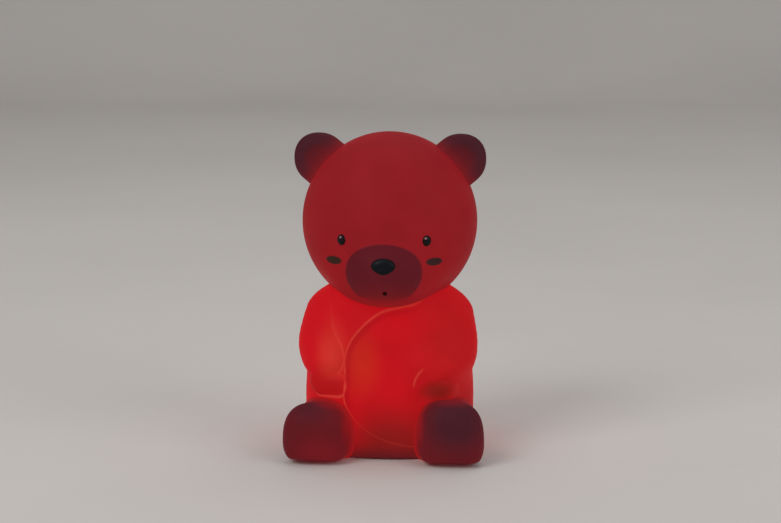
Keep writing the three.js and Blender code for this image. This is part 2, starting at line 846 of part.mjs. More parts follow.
function usbLead() {
  const x = -usbBoardSize[0] / 3;
  const start = usbBoardFront - seam;
  const end = axisY + boardDepth / 2 + seam;
  return lead([
    vec(x, start, usbBoardBottom + usbBoardSize[2] / 2),
    vec(x, (start + end) / 2, usbBoardBottom + usbBoardSize[2]),
    vec(x, end, boardHeight + boardThickness / 2),
  ], leadRadius);
}

// Charging port

function usbBoard() {
  return slab(usbBoardSize, 0, usbBoardFront + usbBoardSize[1] / 2, usbBoardBottom);
}

const socketMouth = tunnelEnd;
const socketMiddle = socketMouth - socketSize[1] / 2;

function usbSocket() {
  const shell = slab(socketSize, 0, socketMiddle, socketBase);
  const [width, depth, height] = socketSize.map((size) => size - 2 * socketWall);
  const hollow = block(
    width,
    depth + overrun,
    0,
    socketMiddle + overrun / 2,
    socketBase + socketWall,
    socketBase + socketWall + height,
  );
  return shell.subtract(hollow);
}

function usbTongue() {
  const back = socketMouth - socketSize[1] + socketWall + seam;
  return slab(tongueSize, 0, back + tongueSize[1] / 2, portHeight - tongueSize[2] / 2);
}

// Soft bung, flush with the skin, which swings up about the top edge of its opening.
function portPlug() {
  const top = portHeight + portHalfHeight - runGap;
  const bottom = portHeight - portHalfHeight + plugSwingGap;
  const inner = portBack - plugDepth;
  const bung = block(2 * (portHalfWidth - runGap), 2 * plugDepth, 0, inner + plugDepth, bottom, top);
  return bung.intersect(torsoForm(0));
}

// Light

function ledBoard() {
  const disc = bar(ledBoardRadius, 0, axisY, deckTop, ledBoardTop, roundSides);
  const holes = ledScrewPlaces.map(([x, y]) => bar(screwHole, x, y, deckBottom, ledBoardTop + overrun));
  const slot = bar(leadRadius + seam, 0, ledLeadY, deckBottom, ledBoardTop + overrun);
  return cutAll(disc, [slot, ...holes]);
}

function ledLamp(index) {
  const [x, y] = onCircle(ledCircle, (360 * index) / ledCount);
  return slab(ledSize, x, y, ledBoardTop);
}

function diffuserDome() {
  const domeHeight = lockBottom - domeHeadroom - deckTop;
  const shoulder = domeHeight * domeShoulderShare;
  const steps = Array.from({ length: domeRows + 1 }, (_, i) => (Math.PI / 2) * (i / domeRows));
  const curve = (radius, height) => steps.map((angle) => [
    radius * Math.cos(angle),
    deckTop + shoulder + (height - shoulder) * Math.sin(angle),
  ]);
  const outer = curve(domeRadius, domeHeight);
  const inner = curve(domeRadius - domeWall, domeHeight - domeWall).reverse();
  outer[domeRows][0] = 0;
  inner[0][0] = 0;
  const foot = [[domeRadius - domeWall, deckTop], [domeRadius, deckTop]];
  return turned([foot[1], ...outer, ...inner, ...foot]);
}

// Finishes: colour, roughness and metalness

const finishes = {
  headSilicone: ['#8e1b22', 0.55, 0],
  earSilicone: ['#58191f', 0.6, 0],
  muzzleSilicone: ['#5d1721', 0.6, 0],
  robeSilicone: ['#c3151c', 0.5, 0],
  pawSilicone: ['#a3161b', 0.55, 0],
  footSilicone: ['#60191e', 0.6, 0],
  blackGloss: ['#0d0d12', 0.2, 0],
  whiteShell: ['#e8e6e1', 0.5, 0],
  greyRubber: ['#5a5c60', 0.8, 0],
  frosted: ['#f3f1ec', 0.7, 0],
  greenBoard: ['#1d6b3a', 0.5, 0.05],
  whiteBoard: ['#f2f2f0', 0.4, 0.05],
  lampYellow: ['#f4e7b0', 0.3, 0],
  steel: ['#b9bcc0', 0.3, 0.9],
  blackPlastic: ['#191a1d', 0.5, 0],
  cellFoil: ['#aab0b6', 0.35, 0.6],
  leadRed: ['#b3231f', 0.5, 0],
};

const finishMaterials = Object.fromEntries(Object.entries(finishes).map(([name, values]) => {
  const [color, roughness, metalness] = values;
  return [name, new THREE.MeshStandardMaterial({ name, color, roughness, metalness })];
}));

const bear = new THREE.Group();
bear.name = 'bear_night_light';

function place(name, body, finish) {
  const mesh = new THREE.Mesh(toGeometry(body), finishMaterials[finish]);
  mesh.name = name;
  bear.add(mesh);
}

place('head_skin', headSkin(), 'headSilicone');
place('torso_skin', torsoSkin(), 'robeSilicone');
place('wrap_panel', wrapPanel(), 'robeSilicone');
place('muzzle', muzzle(), 'muzzleSilicone');
place('nose', noseForm(0), 'blackGloss');
limbs.forEach((limb) => {
  const name = limb.side < 0 ? 'right' : 'left';
  place(`ear_${name}`, ear(limb.side), 'earSilicone');
  place(`eye_${name}`, eyeForm(limb.side, 0), 'blackGloss');
  place(`arm_${name}`, arm(limb), 'robeSilicone');
  place(`paw_${name}`, paw(limb), 'pawSilicone');
  place(`leg_${name}`, leg(limb), 'footSilicone');
});
place('neck_collar', neckCollar(), 'whiteShell');
place('neck_lock_ring', neckLockRing(), 'whiteShell');
place('base_housing', baseHousing(), 'whiteShell');
place('base_cover', baseCover(), 'whiteShell');
place('anti_slip_ring', antiSlipRing(), 'greyRubber');
place('mode_button', modeButton(), 'greyRubber');
place('tact_switch', switchBody(), 'blackPlastic');
place('tact_plunger', switchPlunger(), 'blackPlastic');
place('main_board', mainBoard(), 'greenBoard');
place('control_chip', controlChip(), 'blackPlastic');
place('battery_plug', slab(plugSize, plugX, plugY, boardTop), 'whiteShell');
place('battery_cell', slab([cellWidth, cellDepth, cellThickness], 0, axisY, cellBottom), 'cellFoil');
place('battery_foam_pad', foamPad(), 'blackPlastic');
place('battery_lead', batteryLead(), 'leadRed');
place('led_lead', ledLead(), 'leadRed');
place('usb_lead', usbLead(), 'leadRed');
place('usb_board', usbBoard(), 'greenBoard');
place('usb_socket', usbSocket(), 'steel');
place('usb_tongue', usbTongue(), 'blackPlastic');
place('port_plug', portPlug(), 'robeSilicone');
place('led_board', ledBoard(), 'whiteBoard');
for (let index = 0; index < ledCount; index += 1) {
  place(`led_lamp_${index + 1}`, ledLamp(index), 'lampYellow');
}
place('diffuser_dome', diffuserDome(), 'frosted');
coverPosts.forEach(([x, y], index) => {
  place(`cover_screw_${index + 1}`, screw(x, y, coverScrewSeat, coverScrewLength, 1), 'steel');
});
boardPosts.forEach(([x, y], index) => {
  place(`board_screw_${index + 1}`, screw(x, y, boardHeight, boardScrewLength, 1), 'steel');
});
ledScrewPlaces.forEach(([x, y], index) => {
  const length = ledBoardThickness + housingWall;
  place(`led_screw_${index + 1}`, screw(x, y, ledBoardTop, length, -1), 'steel');
});

export default bear;
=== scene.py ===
"""Looks of a seated bear night light: a soft silicone skin, lit from inside, over a lamp base.

Everything is in metres, +Z up, with the bear facing -Y. New skins are numpy surfaces that stand
for the plain solids of the model, and the parts of the base keep their solids.
"""

import logging
import math
from collections.abc import Callable
from dataclasses import dataclass
from enum import Enum
from functools import lru_cache

import bpy
import numpy as np
from mathutils import Matrix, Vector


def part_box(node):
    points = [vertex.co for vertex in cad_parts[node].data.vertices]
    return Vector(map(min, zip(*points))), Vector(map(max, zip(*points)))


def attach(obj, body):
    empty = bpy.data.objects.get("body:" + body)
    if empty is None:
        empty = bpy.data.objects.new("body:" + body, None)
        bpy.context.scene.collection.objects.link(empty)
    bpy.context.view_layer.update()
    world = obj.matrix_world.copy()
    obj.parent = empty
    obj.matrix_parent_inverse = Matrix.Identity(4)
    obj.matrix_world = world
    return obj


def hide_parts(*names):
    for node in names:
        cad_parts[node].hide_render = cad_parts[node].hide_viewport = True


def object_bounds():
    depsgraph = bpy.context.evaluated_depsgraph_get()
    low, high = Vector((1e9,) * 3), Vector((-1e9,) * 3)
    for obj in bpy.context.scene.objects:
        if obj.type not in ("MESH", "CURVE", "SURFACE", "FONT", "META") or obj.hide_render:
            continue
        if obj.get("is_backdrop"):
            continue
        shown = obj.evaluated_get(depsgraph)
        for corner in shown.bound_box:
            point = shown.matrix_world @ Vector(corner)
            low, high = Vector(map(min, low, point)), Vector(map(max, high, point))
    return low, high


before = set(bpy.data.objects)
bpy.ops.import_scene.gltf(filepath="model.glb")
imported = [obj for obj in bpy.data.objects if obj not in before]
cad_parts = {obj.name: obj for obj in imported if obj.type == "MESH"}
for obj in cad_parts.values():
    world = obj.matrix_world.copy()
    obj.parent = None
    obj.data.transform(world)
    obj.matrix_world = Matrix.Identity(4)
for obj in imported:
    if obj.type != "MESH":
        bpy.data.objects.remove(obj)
cad_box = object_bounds()

Array = np.ndarray
Marks = dict[str, Array]
Span = tuple[float, float]
Place = tuple[float, float, float]
SpineShares = tuple[tuple[float, float, float, float], ...]
Socket = bpy.types.NodeSocket
log = logging.getLogger("bear_night_light")

LIFT = 0.00003
TUCK_GAP = 0.0001
SHARP_ANGLE = math.radians(40)
# Width of the painted highlight lines along the wrap's edge, the sleeves and the paws.
CREASE_WIDTH = 0.0006
MID_NOISE = (0.3, 0.7)
FINE_DETAIL = 3.0


class Body(Enum):
    """The moving bodies that new pieces ride on."""

    BEAR = "bear"
    BUNG = "port_bung"


class Side(Enum):
    """The bear's own right and left hand, as the sign of X."""

    RIGHT = -1
    LEFT = 1

    @property
    def word(self) -> str:
        """Gives right or left, as the nodes are named."""
        return self.name.lower()


def ease(value: Array, low: float, high: float) -> Array:
    """Eases from 0 at low to 1 at high: with t the share of the way, t squared times (3 - 2 t).

    Args:
        value: Values to ease.
        low: Where the result leaves 0.
        high: Where the result reaches 1.

    Returns:
        The eased shares.
    """
    share = np.clip((value - low) / (high - low), 0.0, 1.0)
    return share * share * (3.0 - 2.0 * share)


def bell(value: Array, width: float) -> Array:
    """Gives exp(-(value / width) squared), a soft ridge along value 0."""
    return np.exp(-((value / width) ** 2))


def soft_union(first: Array, second: Array, reach: float | Array) -> Array:
    """Joins two distances with a fillet: the lesser, less reach / 4 times h squared.

    h falls from 1 where the two are equal to 0 where they differ by reach.

    Args:
        first: Distances to the first form, below 0 inside it.
        second: Distances to the second form.
        reach: Width of the fillet.

    Returns:
        Distances to the joined form.
    """
    near = np.maximum(reach - np.abs(first - second), 0.0) / reach
    return np.minimum(first, second) - near * near * reach / 4.0


def through(points: Array, count: int) -> Array:
    """Spreads places along the curve through given points.

    Each stretch is the cubic whose end tangents are half the step between the neighbours.

    Args:
        points: Given points, one a row.
        count: How many places to give.

    Returns:
        The places, one a row.
    """
    padded = np.vstack([2 * points[:1] - points[1:2], points, 2 * points[-1:] - points[-2:-1]])
    along = np.linspace(0.0, len(points) - 1.0, count)
    index = np.minimum(along.astype(int), len(points) - 2)
    t = (along - index)[:, None]
    before, start, end, after = (padded[index + step] for step in range(4))
    slope = (end - before) / 2
    last_slope = (after - start) / 2
    return (
        (2 * t**3 - 3 * t**2 + 1) * start
        + (t**3 - 2 * t**2 + t) * slope
        + (3 * t**2 - 2 * t**3) * end
        + (t**3 - t**2) * last_slope
    )


def read_curve(knots: Array, values: Array, at: Array) -> Array:
    """Reads a smooth curve through knots: on each stretch a cubic with the mean slopes at its ends.

    Args:
        knots: Rising places of the knots.
        values: Values at the knots.
        at: Places to read.

    Returns:
        The values there.
    """
    slopes = np.gradient(values, knots)
    inside = np.clip(at, knots[0], knots[-1])
    index = np.clip(np.searchsorted(knots, inside, side="right") - 1, 0, len(knots) - 2)
    width = knots[index + 1] - knots[index]
    t = (inside - knots[index]) / width
    return (
        (2 * t**3 - 3 * t**2 + 1) * values[index]
        + (t**3 - 2 * t**2 + t) * width * slopes[index]
        + (3 * t**2 - 2 * t**3) * values[index + 1]
        + (t**3 - t**2) * width * slopes[index + 1]
    )


def line_distance(line: Array, x: Array, z: Array) -> Array:
    """Gives the distance to a line of points, above 0 on its left as seen from -Y.

    It is the least distance to the line's stretches, with the sign of the side of the nearest.

    Args:
        line: The line's points, as x and z.
        x: Places across.
        z: Heights.

    Returns:
        The signed distances.
    """
    start, step = line[:-1], np.diff(line, axis=0)
    away = np.stack([x, z], axis=-1)[..., None, :] - start
    along = np.clip((away * step).sum(-1) / (step * step).sum(-1), 0.0, 1.0)
    rest = away - along[..., None] * step
    length = np.linalg.norm(rest, axis=-1)
    nearest = length.argmin(axis=-1)[..., None]
    turn = step[:, 0] * away[..., 1] - step[:, 1] * away[..., 0]
    side = np.sign(np.take_along_axis(turn, nearest, -1)[..., 0])
    return side * np.take_along_axis(length, nearest, -1)[..., 0]


def oval(half_a: Array, half_b: Array, angle: Array, power: float) -> tuple[Array, Array]:
    """Gives places on an oval: the sum of each share of its half size, to the power, is 1.

    Args:
        half_a: Half size along the first axis.
        half_b: Half size along the second axis.
        angle: Angle of the place as seen from the middle.
        power: 2 is an ellipse, and more fills out its sides.

    Returns:
        Both coordinates.
    """
    c, s = np.cos(angle), np.sin(angle)
    reach = (np.abs(c / half_a) ** power + np.abs(s / half_b) ** power) ** (-1 / power)
    return reach * c, reach * s


def ellipsoid_exit(start: Array, half: Array, ways: Array) -> Array:
    """Gives how far rays go before they leave an ellipsoid about the origin.

    In shares of the half sizes the form is a ball of radius 1, and the way out is the greater
    root of a quadratic in the length.

    Args:
        start: Where the rays start, inside the ellipsoid.
        half: Its half sizes.
        ways: Unit directions.

    Returns:
        The lengths.
    """
    at, way = start / half, ways / half
    a, b, c = (way * way).sum(-1), (way * at).sum(-1), (at * at).sum() - 1
    return (np.sqrt(b * b - a * c) - b) / a


def stack(x: Array, y: Array, z: Array) -> Array:
    """Puts coordinates together as points along the last axis."""
    return np.stack(np.broadcast_arrays(x, y, z), axis=-1)


def unit(ways: Array) -> Array:
    """Gives directions, each divided by its length."""
    return ways / np.linalg.norm(ways, axis=-1, keepdims=True)


def full_turn(count: int) -> Array:
    """Gives a row of angles that share out a full turn, from 0."""
    return np.linspace(0, 2 * math.pi, count, endpoint=False)[None, :]


def leans(count: int) -> Array:
    """Gives a column of angles evenly from one pole to the other, without either."""
    return np.linspace(-math.pi / 2, math.pi / 2, count + 2)[1:-1, None]


def with_poles(values: Array, start: float, end: float) -> Array:
    """Lists the numbers of a skin's rings, then those of its start and end poles."""
    return np.append(values.ravel(), [start, end])


def halve(
    low: Array, high: Array, holds: Callable[[Array], Array], rounds: int
) -> tuple[Array, Array]:
    """Closes in on where a test ends: each round keeps the half of the stretch that has the end.

    Args:
        low: Where the test holds.
        high: Where it no longer does.
        holds: The test.
        rounds: How often the stretch is halved.

    Returns:
        Both ends of the last stretch.
    """
    for _ in range(rounds):
        half = (low + high) / 2
        held = holds(half)
        low = np.where(held, half, low)
        high = np.where(held, high, half)
    return low, high


def grid_quads(rows: int, columns: int, wrap_rows: bool, wrap_columns: bool) -> Array:
    """Lists the faces between the rows and columns of a grid of points.

    Args:
        rows: Rows of points.
        columns: Points in a row.
        wrap_rows: Whether the last row joins the first.
        wrap_columns: Whether the last column joins the first.

    Returns:
        Four indices a face, one face a row.
    """
    r = np.arange(rows if wrap_rows else rows - 1)[:, None]
    c = np.arange(columns if wrap_columns else columns - 1)[None, :]
    here = r * columns
    above = (r + 1) % rows * columns
    c_next = (c + 1) % columns
    corners = (here + c, here + c_next, above + c_next, above + c)
    return np.stack([np.broadcast_to(corner, (r.size, c.size)) for corner in corners], axis=-1)


def make_piece(
    name: str, points: Array, faces: list, marks: Marks | None = None
) -> bpy.types.Object:
    """Makes a smooth-shaded object from points and faces.

    Args:
        name: The piece's name.
        points: Points, one a row.
        faces: Tuples or lists of indices.
        marks: Named numbers, one a point, which materials read.

    Returns:
        The object, at the origin.
    """
    mesh = bpy.data.meshes.new(name)
    mesh.from_pydata(points.tolist(), [], faces)
    for mark, values in (marks or {}).items():
        layer = mesh.attributes.new(mark, "FLOAT", "POINT")
        layer.data.foreach_set("value", np.ascontiguousarray(values, dtype=np.float32).ravel())
    mesh.polygons.foreach_set("use_smooth", np.ones(len(mesh.polygons), dtype=bool))
    mesh.set_sharp_from_angle(angle=SHARP_ANGLE)
    mesh.validate()
    mesh.update()
    piece = bpy.data.objects.new(name, mesh)
    bpy.context.scene.collection.objects.link(piece)
    return piece


def skin_piece(
    name: str, rings: Array, start: Array, end: Array, marks: Marks | None = None
) -> bpy.types.Object:
    """Makes a closed skin through rings, with a fan to a pole at each end.

    Args:
        name: The piece's name.
        rings: Points as rows of closed rings, anticlockwise as seen from the end pole.
        start: Pole before the first ring.
        end: Pole after the last ring.
        marks: Named numbers, one for each ring point, then for both poles.

    Returns:
        The object.
    """
    rows, columns = rings.shape[:2]
    points = np.vstack([rings.reshape(-1, 3), start[None], end[None]])
    quads = grid_quads(rows, columns, False, True).reshape(-1, 4)
    here = np.arange(columns)
    there = (here + 1) % columns
    last = (rows - 1) * columns
    first_fan = np.stack([np.full(columns, rows * columns), there, here], axis=-1)
    last_fan = np.stack([np.full(columns, rows * columns + 1), last + here, last + there], axis=-1)
    return make_piece(name, points, quads.tolist() + first_fan.tolist() + last_fan.tolist(), marks)


def slab_piece(
    name: str, outer: Array, inner: Array, marks: Marks | None = None
) -> bpy.types.Object:
    """Makes a closed piece from an outer and an inner grid, joined round their borders.

    Args:
        name: The piece's name.
        outer: Outer points, whose rows and columns turn anticlockwise as seen from outside.
        inner: Inner points in the same order.
        marks: Named numbers for each outer point, which the inner ones share.

    Returns:
        The object.
    """
    rows, columns = outer.shape[:2]
    count = rows * columns
    quads = grid_quads(rows, columns, False, False).reshape(-1, 4)
    index = np.arange(count).reshape(rows, columns)
    rim = np.concatenate([index[0, :-1], index[:-1, -1], index[-1, :0:-1], index[:0:-1, 0]])
    ahead = np.roll(rim, -1)
    border = np.stack([rim, rim + count, ahead + count, ahead], axis=-1)
    faces = quads.tolist() + (quads[:, ::-1] + count).tolist() + border.tolist()
    doubled = {mark: np.concatenate([values.ravel()] * 2) for mark, values in (marks or {}).items()}
    points = np.concatenate([outer.reshape(-1, 3), inner.reshape(-1, 3)])
    return make_piece(name, points, faces, doubled)


@dataclass(frozen=True)
class HeadForm:
    """The head's outer form: an ellipse in plan and an oval in height."""

    axis_y: float
    middle: float
    half_width: float
    half_depth: float
    half_height: float = 0.042
    power: float = 2.0

    @classmethod
    def of_node(cls, node: str) -> "HeadForm":
        """Gives the form that fills a node's box and ends at its top.

        Args:
            node: The head's node.

        Returns:
            The form.
        """
        low, high = (np.array(corner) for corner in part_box(node))
        half = (high - low) / 2
        middle = float(high[2]) - cls.half_height
        return cls(float(low[1] + high[1]) / 2, middle, float(half[0]), float(half[1]))

    @property
    def centre(self) -> Array:
        """Gives the form's middle point."""
        return np.array([0.0, self.axis_y, self.middle])

    def place(self, turn: Array, lean: Array, grow: float = 0.0) -> Array:
        """Gives points on the form grown by a distance.

        Plan share and level lie on an oval at the lean, and x and y on the ellipse at the turn.

        Args:
            turn: Angle about the upright axis.
            lean: Angle above the middle.
            grow: Added to each half size.

        Returns:
            The points.
        """
        plan, level = oval(1.0, 1.0, lean, self.power)
        x, y = oval(self.half_width + grow, self.half_depth + grow, turn, 2.0)
        height = self.middle + level * (self.half_height + grow)
        return stack(plan * x, self.axis_y + plan * y, height)

    def share(self, points: Array) -> Array:
        """Gives how far out points lie: the plan share and level, to the power, summed.

        Args:
            points: Points to measure.

        Returns:
            1 on the form and less inside.
        """
        x, y, z = np.moveaxis(points - self.centre, -1, 0)
        plan = np.hypot(x / self.half_width, y / self.half_depth)
        return (plan**self.power + np.abs(z / self.half_height) ** self.power) ** (1 / self.power)

    def gap(self, points: Array) -> Array:
        """Gives how far points lie outside the form, measured towards its middle."""
        return np.linalg.norm(points - self.centre, axis=-1) * (1 - 1 / self.share(points))

    def seat(self, points: Array, depth: float) -> Array:
        """Moves points that lie deeper than a depth out to it, away from the middle.

        Args:
            points: Points of a piece that stands on the form.
            depth: How deep in the wall the piece may start.

        Returns:
            The points, seated.
        """
        gap = self.gap(points)
        away = points - self.centre
        length = np.linalg.norm(away, axis=-1)
        wanted = length - gap - depth
        scale = np.where(gap < -depth, wanted / length, 1.0)
        return self.centre + away * scale[..., None]

    def underside(self, x: Array, y: Array, grow: float) -> Array:
        """Gives the height of the lower skin above a place, or the middle outside the form.

        Args:
            x: Places across.
            y: Places along.
            grow: Added to each half size.

        Returns:
            The heights.
        """
        plan = np.hypot(x / (self.half_width + grow), (y - self.axis_y) / (self.half_depth + grow))
        fall = (1 - np.minimum(plan, 1.0) ** self.power) ** (1 / self.power)
        return self.middle - (self.half_height + grow) * fall

    def tuck(self, points: Array, gap: float) -> Array:
        """Lowers points that would stand in the head to just under its skin."""
        under = self.underside(points[..., 0], points[..., 1], gap)
        return stack(points[..., 0], points[..., 1], np.minimum(points[..., 2], under))

    def exit(self, start: Array, ways: Array, reach: float = 0.09, rounds: int = 36) -> Array:
        """Gives how far rays from inside go before they leave the form, by halving.

        Args:
            start: Where the rays start.
            ways: Unit directions.
            reach: A length that surely leads out.
            rounds: How often the length is halved.

        Returns:
            The lengths.
        """
        none, full = np.zeros(ways.shape[:-1]), np.full(ways.shape[:-1], reach)
        low, high = halve(
            none, full, lambda length: self.share(start + ways * length[..., None]) < 1, rounds
        )
        return (low + high) / 2


@dataclass(frozen=True)
class TorsoForm:
    """The torso's outer form: ovals that widen and narrow with height."""

    axis_y: float
    bottom: float
    half_width: float
    half_depth: float
    height: float = 0.079
    power: float = 2.25
    row_shares: tuple[Place, ...] = (
        (0, 0.955, 0.95),
        (0.05, 0.985, 0.98),
        (0.19, 1, 1),
        (0.39, 0.995, 1),
        (0.557, 0.962, 0.965),
        (0.696, 0.89, 0.88),
        (0.823, 0.79, 0.78),
        (0.924, 0.72, 0.7),
        (1, 0.62, 0.62),
    )

    @classmethod
    def of_node(cls, node: str, axis_y: float) -> "TorsoForm":
        """Gives the form that fills a node's box and starts at its bottom.

        Args:
            node: The torso's node.
            axis_y: Where its upright axis stands.

        Returns:
            The form.
        """
        low, high = (np.array(corner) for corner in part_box(node))
        half = (high - low) / 2
        return cls(axis_y, float(low[2]), float(half[0]), float(half[1]))

    def halves(self, z: Array, grow: float = 0.0) -> tuple[Array, Array]:
        """Gives the half width and half depth at heights, read from smooth curves of the shares.

        Args:
            z: Heights.
            grow: Added to both.

        Returns:
            The half widths and half depths.
        """
        rows = np.array(self.row_shares, dtype=float)
        level = (z - self.bottom) / self.height
        width = self.half_width * read_curve(rows[:, 0], rows[:, 1], level)
        depth = self.half_depth * read_curve(rows[:, 0], rows[:, 2], level)
        return width + grow, depth + grow

    def radius(self, turn: Array, z: Array) -> Array:
        """Gives how far the form reaches from its axis at a turn and height."""
        width, depth = self.halves(z)
        return np.hypot(*oval(width, depth, turn, self.power))

    def wall_y(self, x: Array, z: Array, way: int, grow: float = 0.0) -> Array:
        """Gives the y of the wall: on each level's oval, the depth that is left at a place across.

        Args:
            x: Places across.
            z: Heights.
            way: -1 for the front and 1 for the back.
            grow: Added to the half sizes.

        Returns:
            The wall's y.
        """
        width, depth = self.halves(z, grow)
        across = np.minimum(np.abs(x / width), 1.0)
        return self.axis_y + way * depth * (1 - across**self.power) ** (1 / self.power)

    def at(self, shares: Array, side: Side) -> Array:
        """Gives places stated as shares of the half width, half depth and height."""
        scale = np.array([side.value * self.half_width, self.half_depth, self.height])
        return np.array([0.0, self.axis_y, self.bottom]) + np.asarray(shares, dtype=float) * scale

    def front_line(self, shares: tuple[Span, ...], count: int) -> Array:
        """Gives x and z along a curve stated as shares of the half width and height."""
        scale = np.array([self.half_width, self.height])
        return np.array([0.0, self.bottom]) + through(np.array(shares), count) * scale


@dataclass(frozen=True)
class WrapEdge:
    """The curved edge of the robe's wrap-over front, seen from the front."""

    torso: TorsoForm
    thickness: float = 0.0011
    lip: float = 0.0012
    shares: tuple[Span, ...] = (
        (0.6, 1),
        (0.46, 0.95),
        (0.33, 0.908),
        (0.17, 0.892),
        (-0.03, 0.867),
        (-0.17, 0.822),
        (-0.29, 0.765),
        (-0.39, 0.7),
        (-0.45, 0.63),
        (-0.465, 0.56),
        (-0.462, 0.48),
        (-0.475, 0.41),
        (-0.47, 0.34),
        (-0.42, 0.28),
        (-0.3, 0.205),
        (-0.12, 0.14),
        (0.12, 0.09),
        (0.4, 0.065),
    )
    line_points: int = 57
    far_share: float = 0.72
    fade_from: float = 0.012
    hem_height: float = 0.016
    hem_relief: float = 0.4
    # How the painted highlight and the painted shade along the edge fade towards the hem and the
    # neck, and where they lie.
    hem_light: float = 0.3
    neck_heights: Span = (0.064, 0.073)
    neck_dimming: float = 0.55
    crease_offset: float = 0.0003
    hollow_offset: float = 0.0021
    hollow_width: float = 0.0014

    def line(self, count: int) -> Array:
        """Gives points along the edge as x and z."""
        return self.torso.front_line(self.shares, count)

    def distance(self, x: Array, z: Array) -> Array:
        """Gives the distance to the edge, above 0 on the side of the wrap."""
        return line_distance(self.line(self.line_points), x, z)

    def relief(self, x: Array, z: Array, distance: Array) -> Array:
        """Gives the height of the wrap over the torso: it eases up at its edge and out at the side.

        Args:
            x: Places across.
            z: Heights.
            distance: Signed distances to the edge.

        Returns:
            The heights.
        """
        side = 1 - ease(x, self.fade_from, self.far_share * self.torso.half_width)
        rise = ease(z, self.hem_height / 2, 2 * self.hem_height)
        hem = self.hem_relief + (1 - self.hem_relief) * rise
        return self.thickness * ease(distance, 0.0, self.lip) * side * hem

    def marks(self, z: Array, distance: Array) -> Marks:
        """Gives the edge's painted highlight and the painted shade beside it, as bells of the
        distance.

        Args:
            z: Heights.
            distance: Signed distances to the edge.

        Returns:
            Both marks by name, which fade towards the hem and the neck.
        """
        neck = 1 - self.neck_dimming * ease(z, *self.neck_heights)
        light = ease(z, self.hem_height, 2 * self.hem_height) * neck
        # Painted highlight along the edge, and painted shade a little further onto the wrap.
        crease = bell(distance - self.crease_offset, CREASE_WIDTH)
        hollow = bell(distance - self.hollow_offset, self.hollow_width)
        return {
            "crease": crease * (self.hem_light + (1 - self.hem_light) * light),
            "hollow": hollow * light,
        }


@dataclass(frozen=True)
class ArmSizes:
    """One sleeve with its paw, whose places are shares of the torso's half sizes and height."""

    side: Side
    forearm: SpineShares
    broad: SpineShares
    cuff_way: Place
    cuff_round: float
    turns: Span
    soft_heights: Span
    low_fillet: float
    paw_shares: Place
    paw_stretch: Place
    paw_fillet: float
    # Strength of the painted highlight along the paw's crease, and share of the paw's own colour.
    paw_crease: float
    paw_own: float
    # Points of a short painted highlight line on the sleeve, if it has one.
    fold_highlight_shares: tuple[Span, ...] = ()
    shoulder: SpineShares = ((0.673, -0.06, 0.775, 1.2), (0.777, -0.35, 0.635, 1))


RIGHT_ARM = ArmSizes(
    side=Side.RIGHT,
    forearm=((0.69, -0.61, 0.54, 0.98), (0.655, -0.655, 0.449, 0.9)),
    broad=(
        (0.69, -0.261, 0.765, 0.82),
        (0.74, -0.47, 0.686, 0.73),
        (0.655, -0.661, 0.597, 0.661),
        (0.602, -0.684, 0.522, 0.643),
        (0.614, -0.69, 0.458, 0.625),
    ),
    cuff_way=(0.19, -0.21, -0.96),
    cuff_round=0.0095,
    turns=(math.radians(132), math.radians(250)),
    soft_heights=(0.055, 0.072),
    low_fillet=0.0012,
    paw_shares=(0.712, -0.64, 0.437),
    paw_stretch=(0.0085, -0.0032, -0.0009),
    paw_fillet=0.0008,
    paw_crease=0.8,
    paw_own=1.0,
)
LEFT_ARM = ArmSizes(
    side=Side.LEFT,
    forearm=((0.689, -0.623, 0.54, 0.98), (0.627, -0.687, 0.452, 0.9)),
    broad=(
        (0.652, -0.319, 0.762, 0.8),
        (0.602, -0.565, 0.673, 0.77),
        (0.53, -0.72, 0.585, 0.76),
        (0.49, -0.765, 0.515, 0.75),
        (0.46, -0.78, 0.42, 0.72),
    ),
    cuff_way=(0.15, -0.2, -0.97),
    cuff_round=0.008,
    turns=(math.radians(-82), math.radians(48)),
    soft_heights=(0.044, 0.054),
    low_fillet=0.01,
    paw_shares=(0.622, -0.719, 0.428),
    paw_stretch=(-0.0005, 0.0, 0.0),
    paw_fillet=0.007,
    paw_crease=0.04,
    paw_own=0.3,
    fold_highlight_shares=(
        (0.44, 0.585),
        (0.418, 0.567),
        (0.385, 0.542),
        (0.36, 0.521),
        (0.338, 0.495),
        (0.327, 0.47),
        (0.319, 0.435),
        (0.316, 0.41),
    ),
)


@dataclass(frozen=True)
class SleeveForm:
    """A sleeve: two tubes side by side along bent spines, cut flat at the cuff."""

    torso: TorsoForm
    arm: ArmSizes
    radius: float = 0.0112
    blend: float = 0.006
    spine_points: int = 15

    def spine(self, shares: SpineShares) -> tuple[Array, Array]:
        """Gives a spine's points and the radius at each."""
        rows = through(np.array(shares), self.spine_points)
        return self.torso.at(rows[:, :3], self.arm.side), self.radius * rows[:, 3]

    def tube(self, points: Array, middle: Array, radius: Array) -> Array:
        """Gives distances to one tube, the least over its tapered stretches.

        Args:
            points: Points to measure.
            middle: The spine's points.
            radius: The radius at each.

        Returns:
            Distances, below 0 inside.
        """
        least = np.full(points.shape[:-1], np.inf)
        steps = np.diff(middle, axis=0)
        for start, way, first, last in zip(middle[:-1], steps, radius[:-1], radius[1:]):
            away = points - start
            along = np.clip((away @ way) / (way @ way), 0.0, 1.0)
            rest = np.linalg.norm(away - along[..., None] * way, axis=-1)
            least = np.minimum(least, rest - (first + along * (last - first)))
        return least

    def distance(self, points: Array) -> Array:
        """Gives distances to both tubes, joined by a fillet and cut by the cuff's plane.

        Args:
            points: Points to measure.

        Returns:
            Distances, below 0 inside.
        """
        middle, radius = self.spine(self.arm.shoulder + self.arm.forearm)
        narrow = self.tube(points, middle, radius)
        both = soft_union(narrow, self.tube(points, *self.spine(self.arm.broad)), self.blend)
        way = np.array(self.arm.cuff_way)
        beyond = (points - middle[-1]) @ (way / np.linalg.norm(way))
        return -soft_union(-both, -beyond, self.arm.cuff_round)


